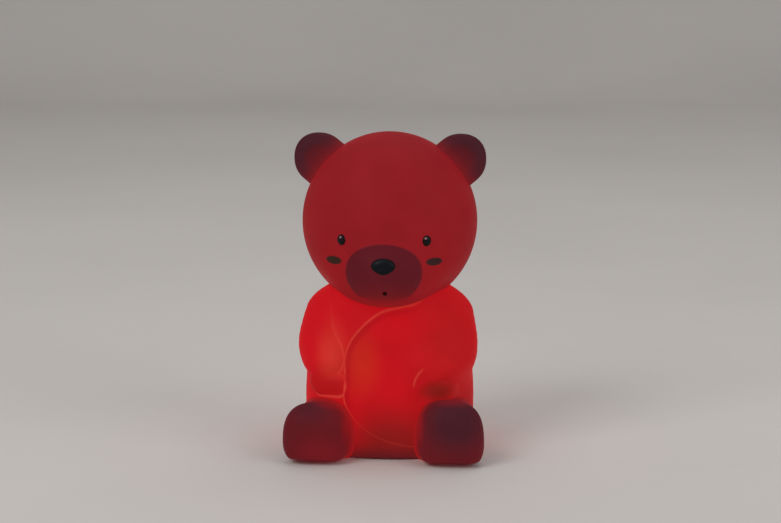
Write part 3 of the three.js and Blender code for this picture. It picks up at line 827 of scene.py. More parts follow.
@dataclass(frozen=True)
class BallForm:
    """A paw: a ball, drawn out a little, that stands out below the cuff."""

    middle: Array
    stretch: Array
    radius: float = 0.0075

    def distance(self, points: Array) -> Array:
        """Gives distances to the ball as it is drawn out along its stretch.

        Args:
            points: Points to measure.

        Returns:
            Distances, below 0 inside.
        """
        away = points - self.middle
        along = np.clip(away @ self.stretch / (self.stretch @ self.stretch), 0.0, 1.0)
        return np.linalg.norm(away - along[..., None] * self.stretch, axis=-1) - self.radius


class Sheet:
    """A material's nodes, added one by one, with a Principled shader at the end."""

    def __init__(self, name: str) -> None:
        """Starts a material.

        Args:
            name: The material's name.
        """
        self.material = bpy.data.materials.new(name)
        self.material.use_nodes = True
        self.tree = self.material.node_tree
        self.shader = next(node for node in self.tree.nodes if node.type == "BSDF_PRINCIPLED")

    def add(self, kind: str, inputs: dict, **settings: object) -> bpy.types.Node:
        """Adds a node and sets or links its inputs.

        Args:
            kind: Blender's name for the node.
            inputs: Values or sockets by input name or number.
            settings: The node's own properties.

        Returns:
            The node.
        """
        node = self.tree.nodes.new(kind)
        for key, value in settings.items():
            setattr(node, key, value)
        for key, value in inputs.items():
            self.put(node.inputs[key], value)
        return node

    def put(self, socket: Socket, value: object) -> None:
        """Sets an input of a node.

        Args:
            socket: The input.
            value: A socket to link it to, or its value.
        """
        if isinstance(value, Socket):
            self.tree.links.new(value, socket)
        else:
            socket.default_value = value

    def shade(self, **values: object) -> None:
        """Sets or links the shader's inputs, with _ for the spaces in their names."""
        for key, value in values.items():
            self.put(self.shader.inputs[key.replace("_", " ")], value)

    def mix(self, factor: object, first: object, second: object, blend: str = "MIX") -> Socket:
        """Mixes two colours.

        Args:
            factor: Share of the second.
            first: Colour or socket.
            second: Colour or socket.
            blend: Blender's name for the way of mixing.

        Returns:
            The colour's socket.
        """
        inputs = {0: factor, 6: first, 7: second}
        return self.add("ShaderNodeMix", inputs, data_type="RGBA", blend_type=blend).outputs[2]

    def place(self) -> Socket:
        """Gives the place on the piece, in metres."""
        return self.add("ShaderNodeTexCoord", {}).outputs["Object"]

    def moved(self, **values: object) -> Socket:
        """Gives the place on the piece, scaled and shifted by a Mapping node's values."""
        return self.add("ShaderNodeMapping", {"Vector": self.place(), **values}).outputs[0]

    def mark(self, name: str) -> Socket:
        """Gives a number that the mesh carries at each point."""
        return self.add("ShaderNodeAttribute", {}, attribute_name=name).outputs["Fac"]

    def noise(self, at: Socket, size: float, detail: float = 2.0) -> Socket:
        """Gives a noise with lumps of about a size, from 0 to 1."""
        inputs = {"Vector": at, "Scale": 1 / size, "Detail": detail}
        return self.add("ShaderNodeTexNoise", inputs).outputs[0]

    def remap(self, value: object, low: float, high: float, start: float, end: float) -> Socket:
        """Maps low to start and high to end, clamped and eased."""
        inputs = {0: value, 1: low, 2: high, 3: start, 4: end}
        return self.add("ShaderNodeMapRange", inputs, interpolation_type="SMOOTHSTEP").outputs[0]

    def uneven(self, grain: Socket, roughness: float, steps: Span) -> Socket:
        """Gives a roughness that a grain takes from one step below or above it to the other."""
        return self.remap(grain, *MID_NOISE, *(roughness + step for step in steps))

    def bump(self, height: object, depth: float, strength: float) -> Socket:
        """Gives a normal bent by a height map."""
        inputs = {"Height": height, "Distance": depth, "Strength": strength}
        return self.add("ShaderNodeBump", inputs).outputs[0]


def paint(code: str) -> tuple[float, float, float, float]:
    """Turns a six-digit screen colour into the linear one that shaders take.

    Below 0.04045 a channel is divided by 12.92, and above it ((c + 0.055) / 1.055) to 2.4.

    Args:
        code: The colour, such as #8e1b22.

    Returns:
        Red, green, blue and 1.
    """
    channels = np.array([int(code[i : i + 2], 16) for i in (1, 3, 5)]) / 255
    linear = np.where(channels < 0.04045, channels / 12.92, ((channels + 0.055) / 1.055) ** 2.4)
    return (*linear.tolist(), 1.0)


@dataclass(frozen=True)
class Patch:
    """A soft patch of another colour on a skin, for print, glints, painted glow and shade: an ovoid
    fading outwards.
    """

    colour: str
    middle: Place
    reach: Place
    core: float = 0.0

    def over(self, sheet: Sheet, under: object) -> Socket:
        """Lays the patch over a colour.

        Args:
            sheet: The material.
            under: Colour or socket below the patch.

        Returns:
            The new colour's socket.
        """
        scale = tuple(1 / size for size in self.reach)
        shift = tuple(-at * by for at, by in zip(self.middle, scale))
        local = sheet.moved(Location=shift, Scale=scale)
        length = sheet.add("ShaderNodeVectorMath", {0: local}, operation="LENGTH").outputs["Value"]
        return sheet.mix(sheet.remap(length, self.core, 1.0, 1.0, 0.0), under, paint(self.colour))


@dataclass(frozen=True)
class LitSilicone:
    """Matt silicone with light behind it: its colour glows, and studio light adds a little."""

    name: str
    slot: str
    colour: str
    patches: tuple[Patch, ...] = ()
    marks: tuple[tuple[str, str, float], ...] = ()
    under: "LitSilicone | None" = None
    own_mark: str = ""
    glow: float = 0.72
    body: float = 0.36
    roughness: float = 0.55
    uneven: Span = (-0.05, 0.05)
    lumps: float = 0.02
    cloudiness: Span = (0.94, 1.05)
    grain: float = 0.0006
    depth: float = 0.00002
    specular: float = 0.04
    bump_strength: float = 0.5

    def field(self, sheet: Sheet) -> Socket:
        """Builds the colour: patches over the ground colour, then the marks, on any finish below.

        Args:
            sheet: The material.

        Returns:
            The colour's socket.
        """
        colour = paint(self.colour)
        for patch in self.patches:
            colour = patch.over(sheet, colour)
        if self.under:
            colour = sheet.mix(sheet.mark(self.own_mark), self.under.field(sheet), colour)
        for mark, code, strength in self.marks:
            factor = sheet.remap(sheet.mark(mark), 0.0, 1.0, 0.0, strength)
            colour = sheet.mix(factor, colour, paint(code))
        return colour

    def make(self) -> bpy.types.Material:
        """Builds the material, with a faint cloudiness in the colour and a powdery surface.

        Returns:
            The material.
        """
        sheet = Sheet(self.name)
        cloud = sheet.remap(sheet.noise(sheet.place(), self.lumps), *MID_NOISE, *self.cloudiness)
        colour = sheet.mix(1.0, self.field(sheet), cloud, "MULTIPLY")
        dark = sheet.mix(1.0, colour, (self.body, self.body, self.body, 1.0), "MULTIPLY")
        powder = sheet.noise(sheet.place(), self.grain, FINE_DETAIL)
        sheet.shade(
            Base_Color=dark,
            Emission_Color=colour,
            Emission_Strength=self.glow,
            Roughness=sheet.uneven(powder, self.roughness, self.uneven),
            Specular_IOR_Level=self.specular,
            Normal=sheet.bump(powder, self.depth, self.bump_strength),
        )
        return sheet.material


@dataclass(frozen=True)
class Gloss:
    """Smooth black plastic of the eyes and nose, with an optional pale glint set in it."""

    name: str
    slot: str
    colour: str
    deep: str
    roughness: float = 0.3
    glints: tuple[Patch, ...] = ()
    glow: float = 0.2
    uneven: Span = (-0.04, 0.06)
    lumps: float = 0.004
    cloud_band: Span = (0.35, 0.65)
    grain: float = 0.0004
    depth: float = 0.00001
    specular: float = 0.16
    bump_strength: float = 0.4

    def make(self) -> bpy.types.Material:
        """Builds the material: two near-black tones in soft clouds, and fine moulding grain.

        Returns:
            The material.
        """
        sheet = Sheet(self.name)
        clouds = sheet.remap(sheet.noise(sheet.place(), self.lumps), *self.cloud_band, 0.0, 1.0)
        colour = sheet.mix(clouds, paint(self.colour), paint(self.deep))
        for glint in self.glints:
            colour = glint.over(sheet, colour)
        grain = sheet.noise(sheet.place(), self.grain)
        sheet.shade(
            Base_Color=colour,
            Emission_Color=colour,
            Emission_Strength=self.glow,
            Roughness=sheet.uneven(grain, self.roughness, self.uneven),
            Specular_IOR_Level=self.specular,
            Normal=sheet.bump(grain, self.depth, self.bump_strength),
        )
        return sheet.material


@dataclass(frozen=True)
class Moulded:
    """A moulded, coated or metal surface of the base: mottled colour and grain."""

    name: str
    slot: str
    colour: str
    second: str
    roughness: float = 0.5
    metallic: float = 0.0
    grain: float = 0.0005
    depth: float = 0.00002
    lumps: float = 0.004
    glow: float = 0.0
    stretch: Place = (1.0, 1.0, 1.0)
    uneven: Span = (-0.08, 0.08)
    cloud_detail: float = 4.0
    bump_strength: float = 0.6

    def make(self) -> bpy.types.Material:
        """Builds the material: colour clouds, a stretched grain in roughness and normal.

        Returns:
            The material.
        """
        sheet = Sheet(self.name)
        clouds = sheet.noise(sheet.place(), self.lumps, self.cloud_detail)
        tone = sheet.remap(clouds, *MID_NOISE, 0.0, 1.0)
        colour = sheet.mix(tone, paint(self.colour), paint(self.second))
        grain = sheet.noise(sheet.moved(Scale=self.stretch), self.grain, FINE_DETAIL)
        sheet.shade(
            Base_Color=colour,
            Metallic=self.metallic,
            Roughness=sheet.uneven(grain, self.roughness, self.uneven),
            Emission_Color=colour,
            Emission_Strength=self.glow,
            Normal=sheet.bump(grain, self.depth, self.bump_strength),
        )
        return sheet.material


Finish = LitSilicone | Gloss | Moulded

# Painted highlight: a light orange-red line along the creases.
CREASE_HIGHLIGHT = ("crease", "#cf3d33", 0.85)
# Painted shade under the left sleeve's cuff, over the paw and the robe below it.
PAW_SHADE = Patch("#8b1c18", (0.0252, -0.028, 0.0333), (0.012, 0.02, 0.0074), core=0.1)

# The robe's glow is painted in its colour: brighter and dimmer patches, painted shade low down, and
# painted lines.
ROBE = LitSilicone(
    name="lit_robe",
    slot="robe_silicone",
    colour="#c2121b",
    patches=(
        # Painted shade: the glow dims on the bear's left side, and more so low down.
        Patch("#b4191d", (0.03, -0.02, 0.05), (0.028, 0.05, 0.045)),
        Patch("#9c1a1b", (0.035, -0.02, 0.02), (0.026, 0.05, 0.026)),
        # Painted highlight: a brighter orange glow on the belly and sleeve of the bear's right.
        Patch("#c3261b", (-0.0105, -0.03, 0.0455), (0.013, 0.03, 0.022)),
        Patch("#cb332a", (-0.0245, -0.022, 0.0475), (0.0105, 0.03, 0.024)),
        # Painted shade: darker towards the bottom, with a dark band at the bottom edge.
        Patch("#871a19", (0.004, -0.031, 0.0), (0.034, 0.06, 0.036), core=0.2),
        Patch("#5f1b20", (0.0, -0.03, -0.003), (0.06, 0.05, 0.012), core=0.2),
        PAW_SHADE,
    ),
    # Painted highlight along the creases, and painted shade beside the wrap's edge.
    marks=(CREASE_HIGHLIGHT, ("hollow", "#a8101a", 0.5)),
)
# The paw's colour glows a little dimmer than the robe's, with the same painted shade and painted
# crease highlight.
PAW = LitSilicone(
    name="lit_paw",
    slot="paw_silicone",
    colour="#b3161a",
    patches=(PAW_SHADE,),
    marks=(CREASE_HIGHLIGHT,),
    under=ROBE,
    own_mark="own",
)
HEAD = LitSilicone(
    name="lit_head",
    slot="head_silicone",
    colour="#8c1b21",
    patches=(
        # Painted glow: a little brighter at the head's lower sides.
        Patch("#941a1f", (-0.024, -0.02, 0.086), (0.022, 0.03, 0.03)),
        Patch("#921a1f", (0.026, -0.02, 0.086), (0.022, 0.03, 0.03)),
        # Painted shade under the chin.
        Patch("#8b1b1a", (0.0, -0.012, 0.07), (0.026, 0.03, 0.014)),
        # Printed grey cheek ovals.
        Patch("#36221b", (-0.0236, -0.0265, 0.0937), (0.0044, 0.02, 0.0022), core=0.75),
        Patch("#372020", (0.0229, -0.0265, 0.0937), (0.0041, 0.02, 0.0021), core=0.75),
    ),
)
MUZZLE = LitSilicone(
    name="lit_muzzle",
    slot="muzzle_silicone",
    colour="#5b1820",
    patches=(
        # Painted glow: the muzzle's lower edge glows redder towards the chin.
        Patch("#7c1e1e", (0.0, -0.03, 0.072), (0.03, 0.03, 0.017)),
        Patch("#26060a", (0.0011, -0.037, 0.0806), (0.0013, 0.01, 0.0013), core=0.7),
    ),
    under=HEAD,
    own_mark="own",
)
EAR = LitSilicone(
    name="lit_ear",
    slot="ear_silicone",
    colour="#451e25",
    # warm paints a redder glow near the head; the dish is a lighter tone.
    marks=(("inner", "#58191f", 0.8), ("warm", "#7a1b20", 0.9)),
)
FOOT = LitSilicone(
    name="lit_foot",
    slot="foot_silicone",
    colour="#60191f",
    patches=(
        # Painted shade on the left foot and the right foot's upper outer part, and painted glow low
        # on the right foot.
        Patch("#451d25", (0.034, -0.04, 0.022), (0.022, 0.03, 0.02), core=0.2),
        Patch("#471c24", (-0.034, -0.03, 0.027), (0.018, 0.03, 0.012)),
        Patch("#74191f", (-0.028, -0.04, 0.006), (0.02, 0.03, 0.013)),
    ),
    # Painted glow: redder near the torso, along the inner side and on top.
    marks=(("warm", "#a0191c", 1.0),),
)
NOSE = Gloss("nose_gloss", "black_gloss", "#060a11", "#04070c", roughness=0.45)


def moulded(slot: str, colour: str, second: str, **values: object) -> Moulded:
    """Gives a finish of the base, whose material is named for its slot."""
    return Moulded(f"moulded_{slot}", slot, colour, second, **values)


BASE_FINISHES: dict[Moulded, tuple[str, ...]] = {
    moulded("white_shell", "#e8e6e1", "#dedbd4", roughness=0.45): (
        "neck_collar",
        "neck_lock_ring",
        "base_housing",
        "base_cover",
        "battery_plug",
    ),
    moulded("grey_rubber", "#5a5c60", "#4c4e52", roughness=0.8, depth=0.00005): (
        "anti_slip_ring",
        "mode_button",
    ),
    moulded("black_plastic", "#191a1d", "#232428", roughness=0.5): (
        "tact_switch",
        "tact_plunger",
        "control_chip",
        "usb_tongue",
    ),
    moulded("green_board", "#1d6b3a", "#175a30", roughness=0.35, lumps=0.002): (
        "main_board",
        "usb_board",
    ),
    moulded("white_board", "#f2f2f0", "#e6e6e2", roughness=0.35): ("led_board",),
    moulded(
        "steel", "#b9bcc0", "#a4a7ab", roughness=0.3, metallic=0.95, stretch=(6.0, 1.0, 1.0)
    ): (
        "usb_socket",
        *(f"cover_screw_{number}" for number in (1, 2, 3)),
        *(f"board_screw_{number}" for number in (1, 2)),
        *(f"led_screw_{number}" for number in (1, 2)),
    ),
    moulded(
        "cell_foil", "#aab0b6", "#9ca2a8", roughness=0.3, metallic=0.7, depth=0.0001, grain=0.0015
    ): ("battery_cell",),
    moulded("foam", "#1f1f21", "#2b2b2e", roughness=0.95, grain=0.0007, depth=0.0002): (
        "battery_foam_pad",
    ),
    moulded("lead_red", "#b3231f", "#9c1c19", roughness=0.4): (
        "battery_lead",
        "led_lead",
        "usb_lead",
    ),
    moulded("frosted", "#f3f1ec", "#e9e6e0", roughness=0.7, glow=0.4): ("diffuser_dome",),
    moulded("lamp_yellow", "#f4e7b0", "#f0dc8c", roughness=0.25, glow=1.5): tuple(
        f"led_lamp_{number}" for number in range(1, 7)
    ),
}


@lru_cache(maxsize=None)
def finished(finish: Finish) -> bpy.types.Material:
    """Gives a finish's material, made once for each finish."""
    return finish.make()


def dress(piece: bpy.types.Object, finish: Finish) -> None:
    """Gives a piece a finish as its only material."""
    piece.data.materials.clear()
    piece.data.materials.append(finished(finish))


def seat_piece(piece: bpy.types.Object, finish: Finish, body: Body, *nodes: str) -> None:
    """Dresses a new piece, sets it on its body and says which nodes it stands for.

    Args:
        piece: The new piece.
        finish: Its finish.
        body: The body that it moves with.
        nodes: The nodes that it replaces.
    """
    dress(piece, finish)
    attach(piece, body.value)
    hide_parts(*nodes)
    log.info("%s: %d faces, for %s", piece.name, len(piece.data.polygons), ", ".join(nodes))


def node_middle(node: str) -> Array:
    """Gives the middle of a node's box."""
    low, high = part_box(node)
    return (np.array(low) + np.array(high)) / 2


def node_half(node: str) -> Array:
    """Gives the half sizes of a node's box."""
    low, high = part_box(node)
    return (np.array(high) - np.array(low)) / 2


@dataclass
class Head:
    """The hollow head with its ears, muzzle, nose and eyes."""

    form: HeadForm
    wall: float = 0.0032
    neck_radius: float = 0.0152
    rows: int = 110
    columns: int = 220
    ear_grid: tuple[int, int] = (60, 96)
    muzzle_grid: tuple[int, int] = (90, 168)
    nose_grid: tuple[int, int] = (32, 96)
    eye_grid: tuple[int, int] = (32, 64)
    eye_half: Place = (0.0021, 0.0013, 0.0025)
    eye_dimple: float = 0.0004
    eye_dimple_reach: float = 0.0034
    glint_shift: Place = (-0.0004, -0.001, 0.0013)
    glint_reach: Place = (0.00065, 0.003, 0.00075)
    ear_radius: float = 0.0118
    ear_half_thickness: float = 0.0054
    ear_power: float = 2.2
    ear_dish: float = 0.0011
    ear_dish_radii: Span = (0.35 * 0.0082, 1.15 * 0.0082)
    ear_flare: float = 0.12
    ear_flare_reach: float = 0.0022
    ear_seat: float = 0.001
    ear_warm_reach: float = 0.0045
    ear_back_share: float = 0.3
    muzzle_middle: Place = (0.0, -0.0256, 0.0892)
    muzzle_half: Place = (0.018, 0.014, 0.0156)
    muzzle_fillet: float = 0.0022
    muzzle_tilts: Span = (math.radians(15), math.radians(165))
    muzzle_root: float = 0.0003
    muzzle_halvings: int = 24
    jaw_middle: Place = (0.0, -0.0193, 0.0859)
    jaw_half: Place = (0.025, 0.012, 0.0144)
    jaw_fillet: float = 0.014
    muzzle_edge: Span = (-0.0019, -0.0004)
    muzzle_crown: float = 0.0006
    crown_heights: Span = (0.09, 0.101)
    chin_fade: Span = (0.0742, 0.0796)
    mouth: Place = (0.0012, -0.0368, 0.0805)
    mouth_depth: float = 0.0004
    mouth_reach: float = 0.0012
    nose_fill: Place = (1.02, 1.0, 1.16)
    nose_lift: float = 0.0005
    nose_shift: float = 0.0004
    nose_rise_share: float = 0.42
    nose_power: float = 2.3
    nose_top_power: float = 2.0
    nose_chin_power: float = 1.65

    def build(self) -> None:
        """Builds the head's pieces."""
        self.build_shell()
        self.build_muzzle()
        self.build_nose()
        for side in Side:
            self.build_ear(side)
            self.build_eye(side)

    def shell_rows(self, grow: float) -> tuple[Array, Array]:
        """Gives the rings from the neck hole to the crown, and the crown's pole.

        The lowest lean is where the form's ellipse shrinks to the neck hole.

        Args:
            grow: Added to the form's half sizes.

        Returns:
            The rings and the pole.
        """
        plan = self.neck_radius / (self.form.half_width + grow)
        level = (1 - plan**self.form.power) ** (1 / self.form.power)
        lean = np.linspace(-math.atan2(level, plan), math.pi / 2, self.rows + 1)[:-1, None]
        rings = self.form.place(full_turn(self.columns), lean, grow)
        pole = self.form.place(np.array(0.0), np.array(math.pi / 2), grow)
        return rings, pole

    def build_shell(self) -> None:
        """Builds the shell: the inner rings from the crown down, then the outer ones back up.

        Round each eye the outer skin sinks by a bell of the distance to the eye.
        """
        outer, crown = self.shell_rows(0.0)
        inner, ceiling = self.shell_rows(-self.wall)
        for side in Side:
            away = np.linalg.norm(outer - node_middle(f"eye_{side.word}"), axis=-1)
            sink = self.eye_dimple * bell(away, self.eye_dimple_reach)
            outer = outer + unit(self.form.centre - outer) * sink[..., None]
        rings = np.concatenate([inner[::-1], outer])
        piece = skin_piece("head", rings, ceiling, crown)
        seat_piece(piece, HEAD, Body.BEAR, "head_skin")

    def build_ear(self, side: Side) -> None:
        """Builds an ear: an ovoid about the y axis with a dish in front, seated in the head's wall.

        Ring radius and depth lie on an oval, each ring is an oval in x and z, and near the head
        the ovoid swells by a share that falls with exp(-gap / reach).

        Args:
            side: Which ear.
        """
        node = f"ear_{side.word}"
        radius, thick = self.ear_radius, self.ear_half_thickness
        rows, columns = self.ear_grid
        low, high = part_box(node)
        tip = high[0] if side is Side.LEFT else -low[0]
        middle = np.array([side.value * (tip - radius), high[1] - thick, high[2] - radius])
        plan, level = oval(1.0, 1.0, leans(rows), self.ear_power)
        x, z = oval(radius * plan, radius * plan, full_turn(columns), self.ear_power)
        inner = 1 - ease(np.hypot(x, z), *self.ear_dish_radii)
        y = np.where(level > 0, self.ear_dish * inner, 0.0) - thick * level
        local = stack(x, y, z)
        gap = np.maximum(self.form.gap(middle + local), 0.0)
        swell = 1 + self.ear_flare * np.exp(-gap / self.ear_flare_reach)
        rings = self.form.seat(middle + local * swell[..., None], self.ear_seat)
        back = middle + np.array([0.0, thick, 0.0])
        front = middle - np.array([0.0, thick - self.ear_dish, 0.0])
        pole_gaps = np.maximum(self.form.gap(np.array([back, front])), 0.0)
        dished = np.where(level > 0, inner, self.ear_back_share * inner)
        # Painted glow: the ear glows redder near the head, falling with exp(-gap / reach).
        warm, pole_warm = (np.exp(-apart / self.ear_warm_reach) for apart in (gap, pole_gaps))
        marks = {
            "inner": with_poles(dished, self.ear_back_share, 1.0),
            "warm": with_poles(warm, *pole_warm),
        }
        piece = skin_piece(f"{node}_skin", rings, back, front, marks)
        seat_piece(piece, EAR, Body.BEAR, node)

    def build_muzzle(self) -> None:
        """Builds the muzzle and the jaw under it by rays from the muzzle's middle.

        Each ray is as long as the longest way out of the muzzle's ellipsoid, the jaw's and the
        head, joined by fillets, and each fan of rays ends where only the head is left. The mouth
        is a small bell-shaped dent.
        """
        start = np.array(self.muzzle_middle)
        half = np.array(self.muzzle_half)
        rows, columns = self.muzzle_grid
        turn = full_turn(columns)[0]

        def ways(tilt: Array) -> Array:
            """Gives unit directions at tilts away from straight ahead."""
            return stack(np.sin(tilt) * np.cos(turn), -np.cos(tilt), np.sin(tilt) * np.sin(turn))

        def exits(tilt: Array) -> tuple[Array, Array, Array]:
            """Gives how far rays go before they leave each form.

            Args:
                tilt: Tilts of the rays.

            Returns:
                The ways out of the muzzle's ellipsoid, of the jaw's and of the head.
            """
            way = ways(tilt)
            own = ellipsoid_exit(start - start, half, way)
            jaw = ellipsoid_exit(start - np.array(self.jaw_middle), np.array(self.jaw_half), way)
            return own, jaw, self.form.exit(start, way)

        def stands(tilt: Array) -> Array:
            """Tells where the muzzle or the jaw still shapes the rays."""
            own, jaw, head = exits(tilt)
            return (head - own <= self.muzzle_fillet) | (head - jaw <= self.jaw_fillet)

        limits = (np.full(turn.shape, limit) for limit in self.muzzle_tilts)
        _, last = halve(*limits, stands, self.muzzle_halvings)
        tilt = np.linspace(0, 1, rows + 1)[1:, None] * last[None, :]
        own, jaw, head = exits(tilt)
        face = -soft_union(-jaw, -head, self.jaw_fillet)
        reach = -soft_union(-own, -face, self.muzzle_fillet)
        outer = start + ways(tilt) * (reach + LIFT)[..., None]
        to_mouth = np.linalg.norm(outer - np.array(self.mouth), axis=-1)
        dent = self.mouth_depth * bell(to_mouth, self.mouth_reach)
        outer = outer - ways(tilt) * dent[..., None]
        inner = start + ways(tilt) * (head - self.muzzle_root)[..., None]
        rings = np.concatenate([inner, outer[::-1]])
        ahead = np.array([0.0, -1.0, 0.0])
        front = start + ahead * half[1]
        back = start + ahead * float(self.form.exit(start, ahead[None])[0] - self.muzzle_root)
        height = outer[..., 2]
        edge = face - own - self.muzzle_crown * ease(height, *self.crown_heights)
        own_mark = (1 - ease(edge, *self.muzzle_edge)) * ease(height, *self.chin_fade)
        marks = {"own": with_poles(np.concatenate([own_mark, own_mark[::-1]]), 1.0, 1.0)}
        piece = skin_piece("muzzle_skin", rings, back, front, marks)
        seat_piece(piece, MUZZLE, Body.BEAR, "muzzle")

    def build_nose(self) -> None:
        """Builds the nose: rings about the y axis, oval above and drawn to a blunt point below."""
        middle = node_middle("nose") + np.array([self.nose_shift, 0.0, 0.0])
        half = node_half("nose") * np.array(self.nose_fill)
        rows, columns = self.nose_grid
        turn = full_turn(columns)
        plan, level = oval(1.0, 1.0, leans(rows), self.nose_power)
        lift = half[2] * (1 - 2 * self.nose_rise_share) + self.nose_lift
        above = half[2] * 2 * self.nose_rise_share
        upper = oval(half[0], above, turn, self.nose_top_power)
        lower = oval(half[0], 2 * half[2] - above, turn, self.nose_chin_power)
        x, z = (np.where(np.sin(turn) > 0, *pair) for pair in zip(upper, lower))
        rings = middle + stack(plan * x, -half[1] * level, lift + plan * z)
        back = middle + np.array([0.0, half[1], lift])
        front = middle + np.array([0.0, -half[1], lift])
        piece = skin_piece("nose_bead", rings, back, front)
        seat_piece(piece, NOSE, Body.BEAR, "nose")

    def build_eye(self, side: Side) -> None:
        """Builds an eye: an ellipsoid turned square to the head, with a pale glint at the top.

        Args:
            side: Which eye.
        """
        node = f"eye_{side.word}"
        middle = node_middle(node)
        half = np.array(self.eye_half)
        rows, columns = self.eye_grid
        lean, turn = leans(rows), full_turn(columns)
        local = stack(
            half[0] * np.cos(lean) * np.cos(turn),
            -half[1] * np.sin(lean),
            half[2] * np.cos(lean) * np.sin(turn),
        )
        across, along = middle[0], middle[1] - self.form.axis_y
        angle = math.atan2(across / self.form.half_width**2, -along / self.form.half_depth**2)
        c, s = math.cos(angle), math.sin(angle)
        spin = np.array([[c, -s, 0], [s, c, 0], [0, 0, 1]])
        ahead = np.array([0.0, half[1], 0.0]) @ spin.T
        shine = tuple((middle + np.array(self.glint_shift)).tolist())
        finish = Gloss(
            name=f"eye_gloss_{side.word}",
            slot="black_gloss",
            colour="#0c0709",
            deep="#120c0e",
            roughness=0.25,
            glints=(Patch("#a07c7e", shine, self.glint_reach, core=0.1),),
        )
        piece = skin_piece(f"{node}_bead", middle + local @ spin.T, middle + ahead, middle - ahead)
        seat_piece(piece, finish, Body.BEAR, node)


@dataclass(frozen=True)
class Window:
    """A grid of level rays from the torso's axis, and what they meet on the robe."""

    turn: Array
    z: Array
    bare: Array
    robe: Array
    wrap: Marks


